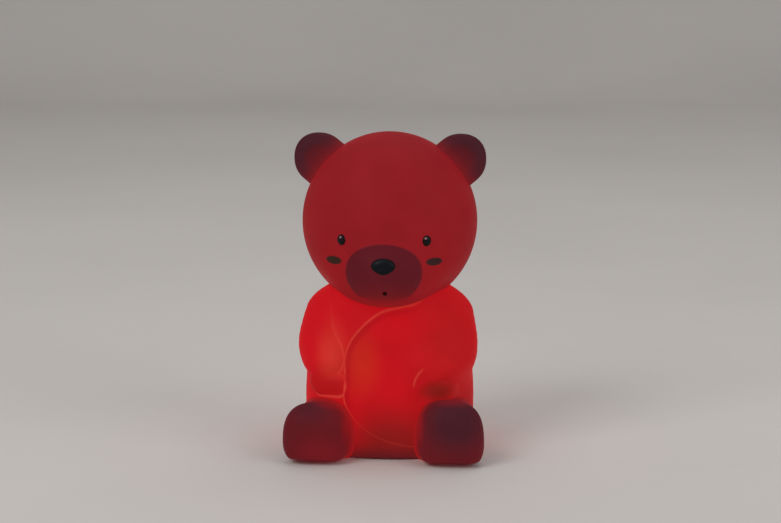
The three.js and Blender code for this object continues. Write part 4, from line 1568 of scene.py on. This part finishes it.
@dataclass
class Robe:
    """The torso in its robe: the hollow skin, the wrap-over front, the sleeves and the paws."""

    head: HeadForm
    torso: TorsoForm
    arms: tuple[ArmSizes, ...] = (RIGHT_ARM, LEFT_ARM)
    wall: float = 0.003
    neck_radius: float = 0.014
    lip_radius: float = 0.026
    lip_thickness: float = 0.0024
    cover_thickness: float = 0.002
    seam: float = 0.0003
    port_half_width: float = 0.0076
    port_bottom: float = 0.0074
    port_top: float = 0.0166
    port_across: int = 16
    port_up: int = 12
    side_columns: int = 233
    outer_rows: tuple[int, int] = (8, 83)
    inner_rows: tuple[int, int] = (3, 49)
    deck_rows: int = 14
    neck_rows: int = 3
    ceiling_rows: int = 12
    lip_rows: tuple[int, ...] = (3, 3, 2, 3, 2)
    underlay: float = 0.0003
    wrap_grid: tuple[int, int] = (260, 110)
    wrap_outset: float = 0.003
    wrap_gathering: float = 1.7
    ray_start: float = 0.058
    ray_steps: int = 42
    ray_share: float = 0.9
    bare_reach: float = 0.0015
    sleeve_grid: tuple[int, int] = (230, 190)
    sleeve_heights: Span = (0.024, 0.0798)
    sleeve_light: float = 0.75
    high_fillet: float = 0.0075
    # Where the painted highlight lines on the sleeves show and fade, and how strong and wide the
    # fold line is.
    crease_front: Span = (0.15, 0.5)
    crease_heights: Span = (0.05, 0.072)
    crease_dimming: float = 0.8
    fold_points: int = 22
    fold_width: float = 0.0005
    fold_light: float = 1.1
    fold_front: Span = (0.6, 0.7)
    fold_low: Span = (0.0335, 0.038)
    fold_high: Span = (0.0425, 0.0465)
    paw_grid: tuple[int, int] = (130, 110)
    paw_turn: float = math.radians(24)
    paw_heights: Span = (0.0255, 0.044)
    # Fading of the paw's painted crease highlight and of its own colour.
    paw_crease_fade: Span = (0.034, 0.042)
    paw_own_fade: Span = (0.035, 0.042)
    paw_own_depth: Span = (-0.0002, 0.002)

    def __post_init__(self) -> None:
        """Places the wrap's edge on the torso."""
        self.edge = WrapEdge(self.torso)

    def build(self) -> None:
        """Builds the robe's pieces."""
        self.build_torso()
        self.build_wrap()
        for arm in self.arms:
            self.build_sleeve(arm)
            self.build_paw(arm)

    def ring_xy(self, half_a: Array, half_b: Array, power: float) -> Array:
        """Gives rings whose first columns cross the port at fixed places across.

        In the port's stretch y follows from x on the oval, and the other columns share out
        the angle that is left.

        Args:
            half_a: Half widths, one a row.
            half_b: Half depths, one a row.
            power: The oval's power.

        Returns:
            x and y, as rows of rings.
        """
        a, b = (np.atleast_1d(half)[:, None] for half in (half_a, half_b))
        span = np.linspace(self.port_half_width, -self.port_half_width, self.port_across + 1)
        x = span[None, :] + 0 * a
        y = b * (1 - np.abs(x / a) ** power) ** (1 / power)
        side_angle = np.arctan2(y[:, :1], self.port_half_width)
        share = np.linspace(0, 1, self.side_columns + 2)[None, 1:-1]
        turn = (math.pi - side_angle) + share * (math.pi + 2 * side_angle)
        rest_x, rest_y = oval(a, b, turn, power)
        return np.stack([np.hstack([x, rest_x]), np.hstack([y, rest_y])], axis=-1)

    def wall_rings(self, z: Array, grow: float) -> Array:
        """Gives rings on the torso's form, grown, at heights."""
        flat = self.ring_xy(*self.torso.halves(z, grow), self.torso.power)
        return stack(flat[..., 0], flat[..., 1] + self.torso.axis_y, z[:, None])

    def circle(self, radius: float, z: float) -> Array:
        """Gives one round ring at a height."""
        flat = self.ring_xy(np.array([radius]), np.array([radius]), 2.0)
        return stack(flat[..., 0], flat[..., 1] + self.torso.axis_y, z)

    def bridge(self, first: Array, last: Array, count: int) -> Array:
        """Gives rings evenly between two, without either."""
        share = np.linspace(0, 1, count + 2)[1:-1, None, None]
        return first + (last - first) * share

    def levels(self, low: float, high: float, rows: tuple[int, int]) -> Array:
        """Gives rising heights that cross the port at fixed ones.

        Args:
            low: Lowest height.
            high: Highest height.
            rows: How many lie below the port and above it.

        Returns:
            The heights.
        """
        below = np.linspace(low, self.port_bottom, rows[0] + 1)[:-1]
        port = np.linspace(self.port_bottom, self.port_top, self.port_up + 1)
        return np.concatenate([below, port, np.linspace(self.port_top, high, rows[1] + 1)[1:]])

    def build_torso(self) -> None:
        """Builds the hollow torso as rings round the cut edge of its wall, and opens the port.

        Rings run up the outside, in under the head, down the neck hole, back out, down the
        inside and round the gripped lip. What would stand in the head is tucked under it.
        """
        low, high = self.torso.bottom, self.torso.bottom + self.torso.height
        lip_low = low + self.cover_thickness + self.seam
        lip_top = lip_low + self.lip_thickness
        seat = self.seam + self.wall
        cover_radius = node_half("base_cover")[0] + self.seam
        outer = self.wall_rings(self.levels(low, high, self.outer_rows), 0.0)
        heights = self.levels(lip_top, high - self.wall, self.inner_rows)[::-1]
        inner = self.wall_rings(heights, -self.wall)
        neck = self.circle(self.neck_radius, high)
        inner_neck = self.circle(self.neck_radius, high - self.wall)
        neck_top, neck_low = self.head.tuck(neck, self.seam), self.head.tuck(neck, seat)
        above = [
            self.head.tuck(outer, self.seam),
            self.head.tuck(self.bridge(outer[-1:], neck, self.deck_rows), self.seam),
            neck_top,
            self.bridge(neck_top, neck_low, self.neck_rows),
            neck_low,
            self.head.tuck(self.bridge(inner_neck, inner[:1], self.ceiling_rows), seat),
        ]
        corners = (
            inner[-1:],
            self.circle(self.lip_radius, lip_top),
            self.circle(self.lip_radius, lip_low),
            self.circle(cover_radius, lip_low),
            self.circle(cover_radius, low),
            outer[:1],
        )
        below = [self.head.tuck(inner, seat)]
        for first, last, count in zip(corners, corners[1:], self.lip_rows):
            below += [self.bridge(first, last, count), last]
        rings = np.concatenate(above + below[:-1])
        rows, columns = rings.shape[:2]
        quads = grid_quads(rows, columns, True, True)
        keep = np.ones(quads.shape[:2], dtype=bool)
        out_low = self.outer_rows[0]
        in_top = sum(len(part) for part in above) + self.inner_rows[1]
        for row in (out_low, in_top):
            keep[row : row + self.port_up, : self.port_across] = False
        walls = self.port_walls(columns, out_low, in_top + self.port_up)
        faces = quads[keep].tolist() + walls.tolist()
        piece = make_piece("torso_robe", rings.reshape(-1, 3), faces)
        seat_piece(piece, ROBE, Body.BEAR, "torso_skin")

    def port_walls(self, columns: int, out_low: int, in_low: int) -> Array:
        """Gives the faces that line the port, from the outer wall's edge to the inner one's.

        Args:
            columns: Points in a ring.
            out_low: Outer ring at the port's lower edge, above which the port's rings follow.
            in_low: Inner ring at the port's lower edge, before which the port's rings lie.

        Returns:
            The faces.
        """
        across = np.arange(self.port_across + 1)
        up = np.arange(self.port_up + 1)

        def loop(low: int, way: int) -> Array:
            """Gives the points round the port on a wall whose rings run up (1) or down (-1)."""
            return np.concatenate([
                low * columns + across[:-1],
                (low + way * up[:-1]) * columns + self.port_across,
                (low + way * self.port_up) * columns + across[:0:-1],
                (low + way * up[:0:-1]) * columns,
            ])

        outer, inner = loop(out_low, 1), loop(in_low, -1)
        return np.stack([outer, np.roll(outer, -1), np.roll(inner, -1), inner], axis=-1)

    def build_wrap(self) -> None:
        """Builds the wrap-over front on a grid that runs along its edge and across to the side.

        Each row starts a little outside the edge. The outer points stand over the torso by the
        relief, and the painted highlight along the edge is a bell of the distance to it.
        """
        rows, columns = self.wrap_grid
        line = self.edge.line(rows)[::-1]
        level = np.linspace(self.edge.shares[-1][1], self.edge.shares[0][1], rows)
        far_x = np.full(rows, self.edge.far_share * self.torso.half_width)
        far = np.stack([far_x, self.torso.bottom + level * self.torso.height], axis=-1)
        span = (far - line)[:, None]
        outset = self.wrap_outset / np.linalg.norm(span, axis=-1, keepdims=True)
        share = np.linspace(0, 1, columns)[None, :, None] ** self.wrap_gathering
        flat = line[:, None] - outset * span + (1 + outset) * span * share
        x, z = flat[..., 0], flat[..., 1]
        distance = self.edge.distance(x, z)
        relief = self.edge.relief(x, z, distance)
        base = stack(x, self.torso.wall_y(x, z, -1), z)
        away = base - np.array([0.0, self.torso.axis_y, 0.0])
        away[..., 2] = 0.0
        away = unit(away)
        outer = self.head.tuck(base + away * (relief + LIFT)[..., None], self.seam)
        inner = self.head.tuck(base - away * self.underlay, self.seam)
        piece = slab_piece("wrap_front", outer, inner, self.edge.marks(z, distance))
        seat_piece(piece, ROBE, Body.BEAR, "wrap_panel")

    def window(self, turns: Span, heights: Span, grid: tuple[int, int]) -> Window:
        """Gives a window on the robe, whose reach is the torso's with the wrap's relief.

        Args:
            turns: First and last angle about the axis.
            heights: Lowest and highest height.
            grid: Points across and up.

        Returns:
            The window, with the wrap's marks.
        """
        columns, rows = grid
        turn = np.linspace(*turns, columns)[None, :] + np.zeros((rows, 1))
        z = np.linspace(*heights, rows)[:, None] + np.zeros((1, columns))
        bare = self.torso.radius(turn, z)
        x, y = bare * np.cos(turn), bare * np.sin(turn)
        distance = self.edge.distance(x, z)
        relief = np.where(y < 0, self.edge.relief(x, z, distance), 0.0)
        marks = self.edge.marks(z, distance)
        wrap = {name: np.where(y < 0, mark, 0.0) for name, mark in marks.items()}
        return Window(turn, z, bare, bare + relief, wrap)

    def ray_points(self, window: Window, reach: Array) -> Array:
        """Gives the points at a reach from the torso's axis."""
        x, y = reach * np.cos(window.turn), reach * np.sin(window.turn)
        return stack(x, self.torso.axis_y + y, window.z)

    def trace(
        self, window: Window, lift: float, form: SleeveForm | BallForm, fillet: float | Array
    ) -> tuple[Array, Array]:
        """Walks level rays in from outside until they meet the robe joined with a form.

        Each step is a share of the distance to the joined form, so no step goes through it.

        Args:
            window: The rays.
            lift: How far the robe is raised.
            form: What lies on the robe.
            fillet: Width of the fillet between them.

        Returns:
            The reach on each ray, and how much farther the form is there than the robe.
        """
        robe = window.robe + lift
        slope = np.gradient(robe, window.z[1, 0] - window.z[0, 0], axis=0)
        flat = 1 / np.sqrt(1 + slope**2)
        reach = np.full(robe.shape, self.ray_start)
        for _ in range(self.ray_steps):
            to_robe = (reach - robe) * flat
            to_form = form.distance(self.ray_points(window, reach))
            reach = reach - self.ray_share * soft_union(to_robe, to_form, fillet)
        return reach, to_form - to_robe

    def seam_marks(self, window: Window, line: Array, apart: Array) -> Marks:
        """Gives a piece's own painted highlight line, and the wrap's painted highlight and shade
        where the robe is bare.

        Args:
            window: The piece's rays.
            line: The piece's own line.
            apart: How much farther the form is than the robe.

        Returns:
            The marks by name.
        """
        bare = ease(apart, 0.0, self.bare_reach)
        crease = np.maximum(line, window.wrap["crease"] * bare)
        return {"crease": crease, "hollow": window.wrap["hollow"] * bare}

    def overlay(self, name: str, window: Window, reach: Array, marks: Marks) -> bpy.types.Object:
        """Makes a closed piece that lies on the torso: its outer skin, and an inner one under it.

        Args:
            name: The piece's name.
            window: The piece's rays.
            reach: The outer skin's reach.
            marks: Named numbers on the grid.

        Returns:
            The object.
        """
        outer = self.head.tuck(self.ray_points(window, reach), TUCK_GAP)
        inner = self.head.tuck(self.ray_points(window, window.bare - self.underlay), self.seam)
        return slab_piece(name, outer, inner, marks)

    def sleeve_line(self, arm: ArmSizes, window: Window, apart: Array) -> Array:
        """Gives the painted highlight line on a sleeve: along its short fold line where it has one,
        or else its crease.

        The fold line's highlight is a bell of the distance to it, and the crease's one of how much
        nearer the sleeve is than the robe. Both fade round the side and with height.

        Args:
            arm: The arm's sizes.
            window: The sleeve's rays.
            apart: How much farther the sleeve is than the robe.

        Returns:
            The line's strength.
        """
        facing = -np.sin(window.turn)
        if not arm.fold_highlight_shares:
            line = bell(apart, CREASE_WIDTH) * ease(facing, *self.crease_front)
            return line * (1 - self.crease_dimming * ease(window.z, *self.crease_heights))
        fold = self.torso.front_line(arm.fold_highlight_shares, self.fold_points)
        away = line_distance(fold, window.bare * np.cos(window.turn), window.z)
        line = self.fold_light * bell(away, self.fold_width) * ease(facing, *self.fold_front)
        return line * ease(window.z, *self.fold_low) * (1 - ease(window.z, *self.fold_high))

    def build_sleeve(self, arm: ArmSizes) -> None:
        """Builds a sleeve, joined to the robe by a fillet that widens towards the shoulder.

        Args:
            arm: The arm's sizes.
        """
        window = self.window(arm.turns, self.sleeve_heights, self.sleeve_grid)
        soft = ease(window.z, *arm.soft_heights)
        fillet = arm.low_fillet + (self.high_fillet - arm.low_fillet) * soft
        form = SleeveForm(self.torso, arm)
        reach, apart = self.trace(window, 2 * LIFT, form, fillet)
        line = self.sleeve_light * self.sleeve_line(arm, window, apart)
        marks = self.seam_marks(window, line, apart)
        piece = self.overlay(f"sleeve_{arm.side.word}", window, reach, marks)
        seat_piece(piece, ROBE, Body.BEAR, f"arm_{arm.side.word}")

    def build_paw(self, arm: ArmSizes) -> None:
        """Builds a paw, a ball that meets the robe in a narrow crease with a painted highlight
        along it.

        Args:
            arm: The arm's sizes.
        """
        middle = self.torso.at(np.array(arm.paw_shares), arm.side)
        form = BallForm(middle, np.array(arm.paw_stretch))
        hub = middle + form.stretch / 2
        centre = math.atan2(hub[1] - self.torso.axis_y, hub[0])
        turns = (centre - self.paw_turn, centre + self.paw_turn)
        window = self.window(turns, self.paw_heights, self.paw_grid)
        reach, apart = self.trace(window, 3 * LIFT, form, arm.paw_fillet)
        line = bell(apart, CREASE_WIDTH) * (1 - ease(window.z, *self.paw_crease_fade))
        own = arm.paw_own * ease(-apart, *self.paw_own_depth)
        marks = {
            "own": own * (1 - ease(window.z, *self.paw_own_fade)),
            **self.seam_marks(window, arm.paw_crease * line, apart),
        }
        piece = self.overlay(f"paw_{arm.side.word}_pad", window, reach, marks)
        seat_piece(piece, PAW, Body.BEAR, f"paw_{arm.side.word}")


@dataclass
class Leg:
    """A splayed leg with a rounded sole that faces forwards."""

    torso: TorsoForm
    side: Side
    reach: float = 0.048
    half_width: float = 0.0152
    spread: float = 0.0315
    hip_spread: float = 0.023
    middle: float = 0.0104
    top_half: float = 0.018
    hip_share: float = 0.81
    rise_power: float = 3.0
    bottom_half: float = 0.0126
    power: float = 2.5
    rounding: float = 0.009
    toe_start: float = 0.029
    toe_rise: float = 0.0058
    toe_blend: float = 0.002
    seat: float = 0.0006
    flare: float = 0.0016
    flare_reach: float = 0.0028
    # Reach and strength of the painted glow near the torso, along the inner side and on top.
    warm_reach: float = 0.007
    warm_rim: float = 0.7
    side_band: Span = (0.6, 1.1)
    side_heights: Span = (0.0, 0.02)
    rim_tilt: float = 0.25
    rim_band: Span = (0.85, 1.2)
    rim_share: float = 1.0
    top_dimming: float = 0.0
    dimming_band: Span = (0.5, 0.95)
    columns: int = 144
    hidden_start: float = 0.002
    halvings: int = 30
    run_rows: int = 44
    run_gathering: float = 1.4
    bend_rows: int = 25
    back_rows: int = 9
    inset_rows: int = 10

    def ring(self, along: Array) -> Array:
        """Gives points of the leg at distances ahead of the axis, one row for each.

        Sections are ovals, flat on the ground, whose upper half grows towards the foot with a
        power of the run. Over the last stretch the section shrinks as a quarter circle does,
        and its flat underside rises ahead of the toe's start as a quarter ellipse does.

        Args:
            along: Distances, either one a row or one a point.

        Returns:
            The points.
        """
        turn = full_turn(self.columns)
        straight = self.reach - self.rounding
        bend = np.clip((along - straight) / self.rounding, 0.0, 1.0)
        shrink = 1 - (self.rounding / self.half_width) * (1 - np.sqrt(1 - bend**2))
        run = np.minimum(along / straight, 1.0)
        centre = self.hip_spread + (self.spread - self.hip_spread) * run
        top = self.top_half * (self.hip_share + (1 - self.hip_share) * run**self.rise_power)
        half_height = np.where(np.sin(turn) > 0, top, self.bottom_half)
        x, z = oval(self.half_width, half_height, turn, self.power)
        toe = np.clip((along - self.toe_start) / (self.reach - self.toe_start), 0.0, 1.0)
        ground = self.toe_rise * (1 - np.sqrt(1 - toe**2))
        height = np.maximum(-soft_union(-(self.middle + z * shrink), -ground, self.toe_blend), 0.0)
        return stack(self.side.value * (centre + x * shrink), self.torso.axis_y - along, height)

    def depth(self, points: Array) -> Array:
        """Gives how far points stand outside the torso, measured from its axis.

        Args:
            points: Points to measure.

        Returns:
            Distances, below 0 inside.
        """
        x, y, z = np.moveaxis(points, -1, 0)
        y = y - self.torso.axis_y
        return np.hypot(x, y) - self.torso.radius(np.arctan2(y, x), z)

    def flared_rings(self) -> Array:
        """Gives the rings from the torso's wall out to the sole.

        Each column starts where it leaves the wall, found by halving, and near the wall the
        leg swells by a flare that falls with exp(-depth / reach).

        Returns:
            The rings.
        """
        straight = self.reach - self.rounding
        ends = (np.full((1, self.columns), end) for end in (self.hidden_start, straight))
        start, _ = halve(
            *ends, lambda along: self.depth(self.ring(along)) <= -self.seat, self.halvings
        )
        share = np.linspace(0, 1, self.run_rows)[:, None] ** self.run_gathering
        run = start + (straight - start) * share
        lean = np.linspace(0, math.pi / 2, self.bend_rows + 1)[1:, None]
        bend = straight + self.rounding * np.sin(lean)
        rows = np.concatenate([run, bend + np.zeros((1, self.columns))])
        rings = self.ring(rows)
        depth = np.maximum(self.depth(rings), 0.0)
        middle = stack(self.side.value * self.hip_spread + 0 * rows, rings[..., 1], self.middle)
        outwards = rings - middle
        outwards[..., 1] = 0.0
        rings = rings + unit(outwards) * (self.flare * np.exp(-depth / self.flare_reach))[..., None]
        rings[..., 2] = np.maximum(rings[..., 2], 0.0)
        return rings

    def warmth(self, skin: Array) -> Array:
        """Gives how warmly the skin glows: near the torso, along the inner side and on top.

        Args:
            skin: The leg's points.

        Returns:
            A number from 0 to 1 for each.
        """
        near = np.exp(-np.maximum(self.depth(skin), 0.0) / self.warm_reach)
        inwards = self.side.value * (self.side.value * self.spread - skin[..., 0]) / self.half_width
        upwards = np.maximum(skin[..., 2] - self.middle, 0.0) / self.top_half
        rim = ease(inwards, *self.side_band) * ease(skin[..., 2], *self.side_heights)
        crown = self.rim_share * ease(upwards + self.rim_tilt * inwards, *self.rim_band)
        near = near * (1 - self.top_dimming * ease(upwards, *self.dimming_band))
        return np.maximum(near, self.warm_rim * np.minimum(rim + crown, 1.0))

    def build(self) -> None:
        """Builds the leg: its rings, rings along the wall behind them, and the sole's rings.

        The rings behind shrink towards the middle of the first, and those of the sole towards
        the middle of the last. The right leg's columns run the other way round.
        """
        rings = self.flared_rings()
        hub = rings[0].mean(axis=0)
        grow = np.linspace(0, 1, self.back_rows + 1)[1:, None, None]
        back = hub + (rings[:1] - hub) * grow
        back[..., 1] = self.torso.wall_y(back[..., 0], back[..., 2], -1) + self.seat
        start = np.array([hub[0], float(self.torso.wall_y(hub[0], hub[2], -1)) + self.seat, hub[2]])
        toe = rings[-1].mean(axis=0)
        inset = np.linspace(1, 0, self.inset_rows + 2)[1:-1, None, None]
        front = toe + (rings[-1:] - toe) * inset
        skin = np.concatenate([back[:-1], rings, front])
        # Painted glow near the torso, along the inner side and on top.
        warm = self.warmth(skin)
        order = self.side.value
        marks = {"warm": with_poles(warm[:, ::order], 1.0, 0.0)}
        piece = skin_piece(f"leg_{self.side.word}_skin", skin[:, ::order], start, toe, marks)
        seat_piece(piece, FOOT, Body.BEAR, f"leg_{self.side.word}")


@dataclass
class Base:
    """The lamp base inside and under the bear, whose solids keep their shapes."""

    torso: TorsoForm
    bung_power: float = 9.0
    bung_fill: Place = (1.035, 1.0, 1.05)
    bung_edge: float = 0.0005
    bung_edge_power: int = 8
    bung_grid: tuple[int, int] = (21, 120)
    notch_level: float = 0.86
    notch_squash: float = 0.5
    notch_depth: float = 0.0007
    notch_reach: float = 0.0016

    def build(self) -> None:
        """Dresses the base's nodes and builds the bung."""
        for finish, nodes in BASE_FINISHES.items():
            for node in nodes:
                dress(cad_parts[node], finish)
            log.info("%s: %s", finish.name, ", ".join(nodes))
        self.build_bung()

    def build_bung(self) -> None:
        """Builds the bung: a round-cornered pad whose face follows the torso's back.

        Rings are ovals of a high power. The face sinks towards its edge with a high power
        of the ring's share, and a bell-shaped notch at its lower edge takes a fingernail.
        """
        middle, half = node_middle("port_plug"), node_half("port_plug") * np.array(self.bung_fill)
        rows, columns = self.bung_grid
        share = np.linspace(0, 1, rows + 1)[1:, None]
        x, z = oval(half[0] * share, half[2] * share, full_turn(columns), self.bung_power)
        z = middle[2] + z
        face = self.torso.wall_y(x, z, 1) - self.bung_edge * share**self.bung_edge_power - LIFT
        low_edge = middle[2] - half[2] * self.notch_level
        to_notch = np.hypot(x * self.notch_squash, z - low_edge)
        face = face - self.notch_depth * bell(to_notch, self.notch_reach)
        back_y = middle[1] - half[1]
        rings = np.concatenate([stack(x, back_y, z), stack(x, face, z)[::-1]])
        hub = np.array([0.0, back_y, middle[2]])
        peak = np.array([0.0, float(self.torso.wall_y(0.0, middle[2], 1)) - LIFT, middle[2]])
        piece = skin_piece("charging_bung", rings[:, ::-1], hub, peak)
        seat_piece(piece, ROBE, Body.BUNG, "port_plug")


@dataclass(frozen=True)
class SoftLight:
    """A square area light that looks at the stage's middle."""

    name: str
    place: Place
    power: float
    size: float


@dataclass
class Stage:
    """The pale floor, the soft lights and the camera at the photograph's angle."""

    azimuth: float = math.radians(4.6)
    elevation: float = math.radians(10.0)
    distance: float = 1.0
    aim: Place = (0.0007, 0.0, 0.089)
    focal: float = 97.7
    sensor: float = 36.0
    floor_front: float = -5.0
    floor_side: float = 6.0
    floor_half: float = 1.6
    floor_drop: float = 0.0001
    sweep_radius: float = 0.5
    sweep_height: float = 1.4
    flat_rows: int = 12
    arc_rows: int = 23
    floor_columns: int = 9
    light_aim: Place = (0.0, 0.0, 0.07)
    lights: tuple[SoftLight, ...] = (
        SoftLight("key_light", (-0.9, -1.1, 1.2), power=11.0, size=0.9),
        SoftLight("fill_light", (1.2, -0.8, 0.8), power=5.0, size=1.0),
        SoftLight("top_light", (0.1, 0.4, 1.5), power=5.0, size=1.2),
    )
    surround: tuple[float, float, float, float] = (0.9, 0.9, 0.92, 1.0)
    surround_strength: float = 0.35

    def build(self) -> None:
        """Builds the floor, the lights and the camera."""
        self.build_floor()
        self.build_lights()
        self.build_camera()

    def build_floor(self) -> None:
        """Builds a floor that sweeps up behind: flat, a quarter circle, then straight up."""
        flat = np.linspace(self.floor_front, self.floor_half, self.flat_rows)
        arc = np.linspace(0, math.pi / 2, self.arc_rows + 1)[1:]
        wall = self.floor_half + self.sweep_radius
        along = np.concatenate([flat, self.floor_half + self.sweep_radius * np.sin(arc), [wall]])
        rise = self.sweep_radius * (1 - np.cos(arc))
        height = np.concatenate([0 * flat, rise, [self.sweep_height]])
        x = np.linspace(-self.floor_side, self.floor_side, self.floor_columns)
        points = stack(x[None, :], along[:, None], height[:, None] - self.floor_drop)
        quads = grid_quads(len(along), len(x), False, False).reshape(-1, 4)
        floor = make_piece("floor_sweep", points.reshape(-1, 3), quads.tolist())
        finish = Moulded(
            name="studio_floor",
            slot="",
            colour="#d9d4cf",
            second="#d3cec9",
            roughness=0.8,
            grain=0.02,
            depth=0.0,
            lumps=0.4,
        )
        dress(floor, finish)
        floor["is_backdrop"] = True

    def build_lights(self) -> None:
        """Builds three soft area lights and a pale surround."""
        for light in self.lights:
            lamp = bpy.data.lights.new(light.name, "AREA")
            lamp.energy = light.power
            lamp.size = light.size
            holder = bpy.data.objects.new(light.name, lamp)
            bpy.context.scene.collection.objects.link(holder)
            holder.matrix_world = look_at(np.array(light.place), np.array(self.light_aim))
        world = bpy.data.worlds.new("studio")
        world.use_nodes = True
        backdrop = world.node_tree.nodes["Background"]
        backdrop.inputs[0].default_value = self.surround
        backdrop.inputs[1].default_value = self.surround_strength
        bpy.context.scene.world = world

    def build_camera(self) -> None:
        """Builds the camera, level and turned by the photograph's azimuth and elevation."""
        a, e = self.azimuth, self.elevation
        back = np.array([math.sin(a) * math.cos(e), -math.cos(a) * math.cos(e), math.sin(e)])
        lens = bpy.data.cameras.new("photo_camera")
        lens.lens = self.focal
        lens.sensor_width = self.sensor
        camera = bpy.data.objects.new("photo_camera", lens)
        bpy.context.scene.collection.objects.link(camera)
        camera.matrix_world = look_at(np.array(self.aim) + back * self.distance, np.array(self.aim))
        bpy.context.scene.camera = camera
        bpy.context.scene.view_settings.view_transform = "Standard"


def look_at(place: Array, target: Array) -> Matrix:
    """Gives the matrix of something at a place that looks at a target along its own -Z.

    Args:
        place: Where it stands.
        target: What it looks at.

    Returns:
        The matrix.
    """
    back = place - target
    back = back / np.linalg.norm(back)
    right = np.cross([0.0, 0.0, 1.0], back)
    right /= np.linalg.norm(right)
    up = np.cross(back, right)
    matrix = np.eye(4)
    matrix[:3] = np.stack([right, up, back, place], axis=-1)
    return Matrix(matrix.tolist())


def main() -> None:
    """Builds the bear, its base and the stage, and works out both boxes."""
    logging.basicConfig(level=logging.INFO, format="%(name)s: %(message)s")
    head = HeadForm.of_node("head_skin")
    torso = TorsoForm.of_node("torso_skin", head.axis_y)
    left_leg = Leg(
        torso,
        Side.LEFT,
        top_half=0.0198,
        power=2.7,
        rim_tilt=0.0,
        rim_band=(0.82, 1.12),
        rim_share=0.9,
        top_dimming=0.3,
    )
    Head(head).build()
    Robe(head, torso).build()
    Leg(torso, Side.RIGHT).build()
    left_leg.build()
    Base(torso).build()
    Stage().build()
    bounds = {"cad": cad_box, "visual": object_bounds()}
    {name: [list(corner) for corner in box] for name, box in bounds.items()}


if __name__ == "__main__":
    main()
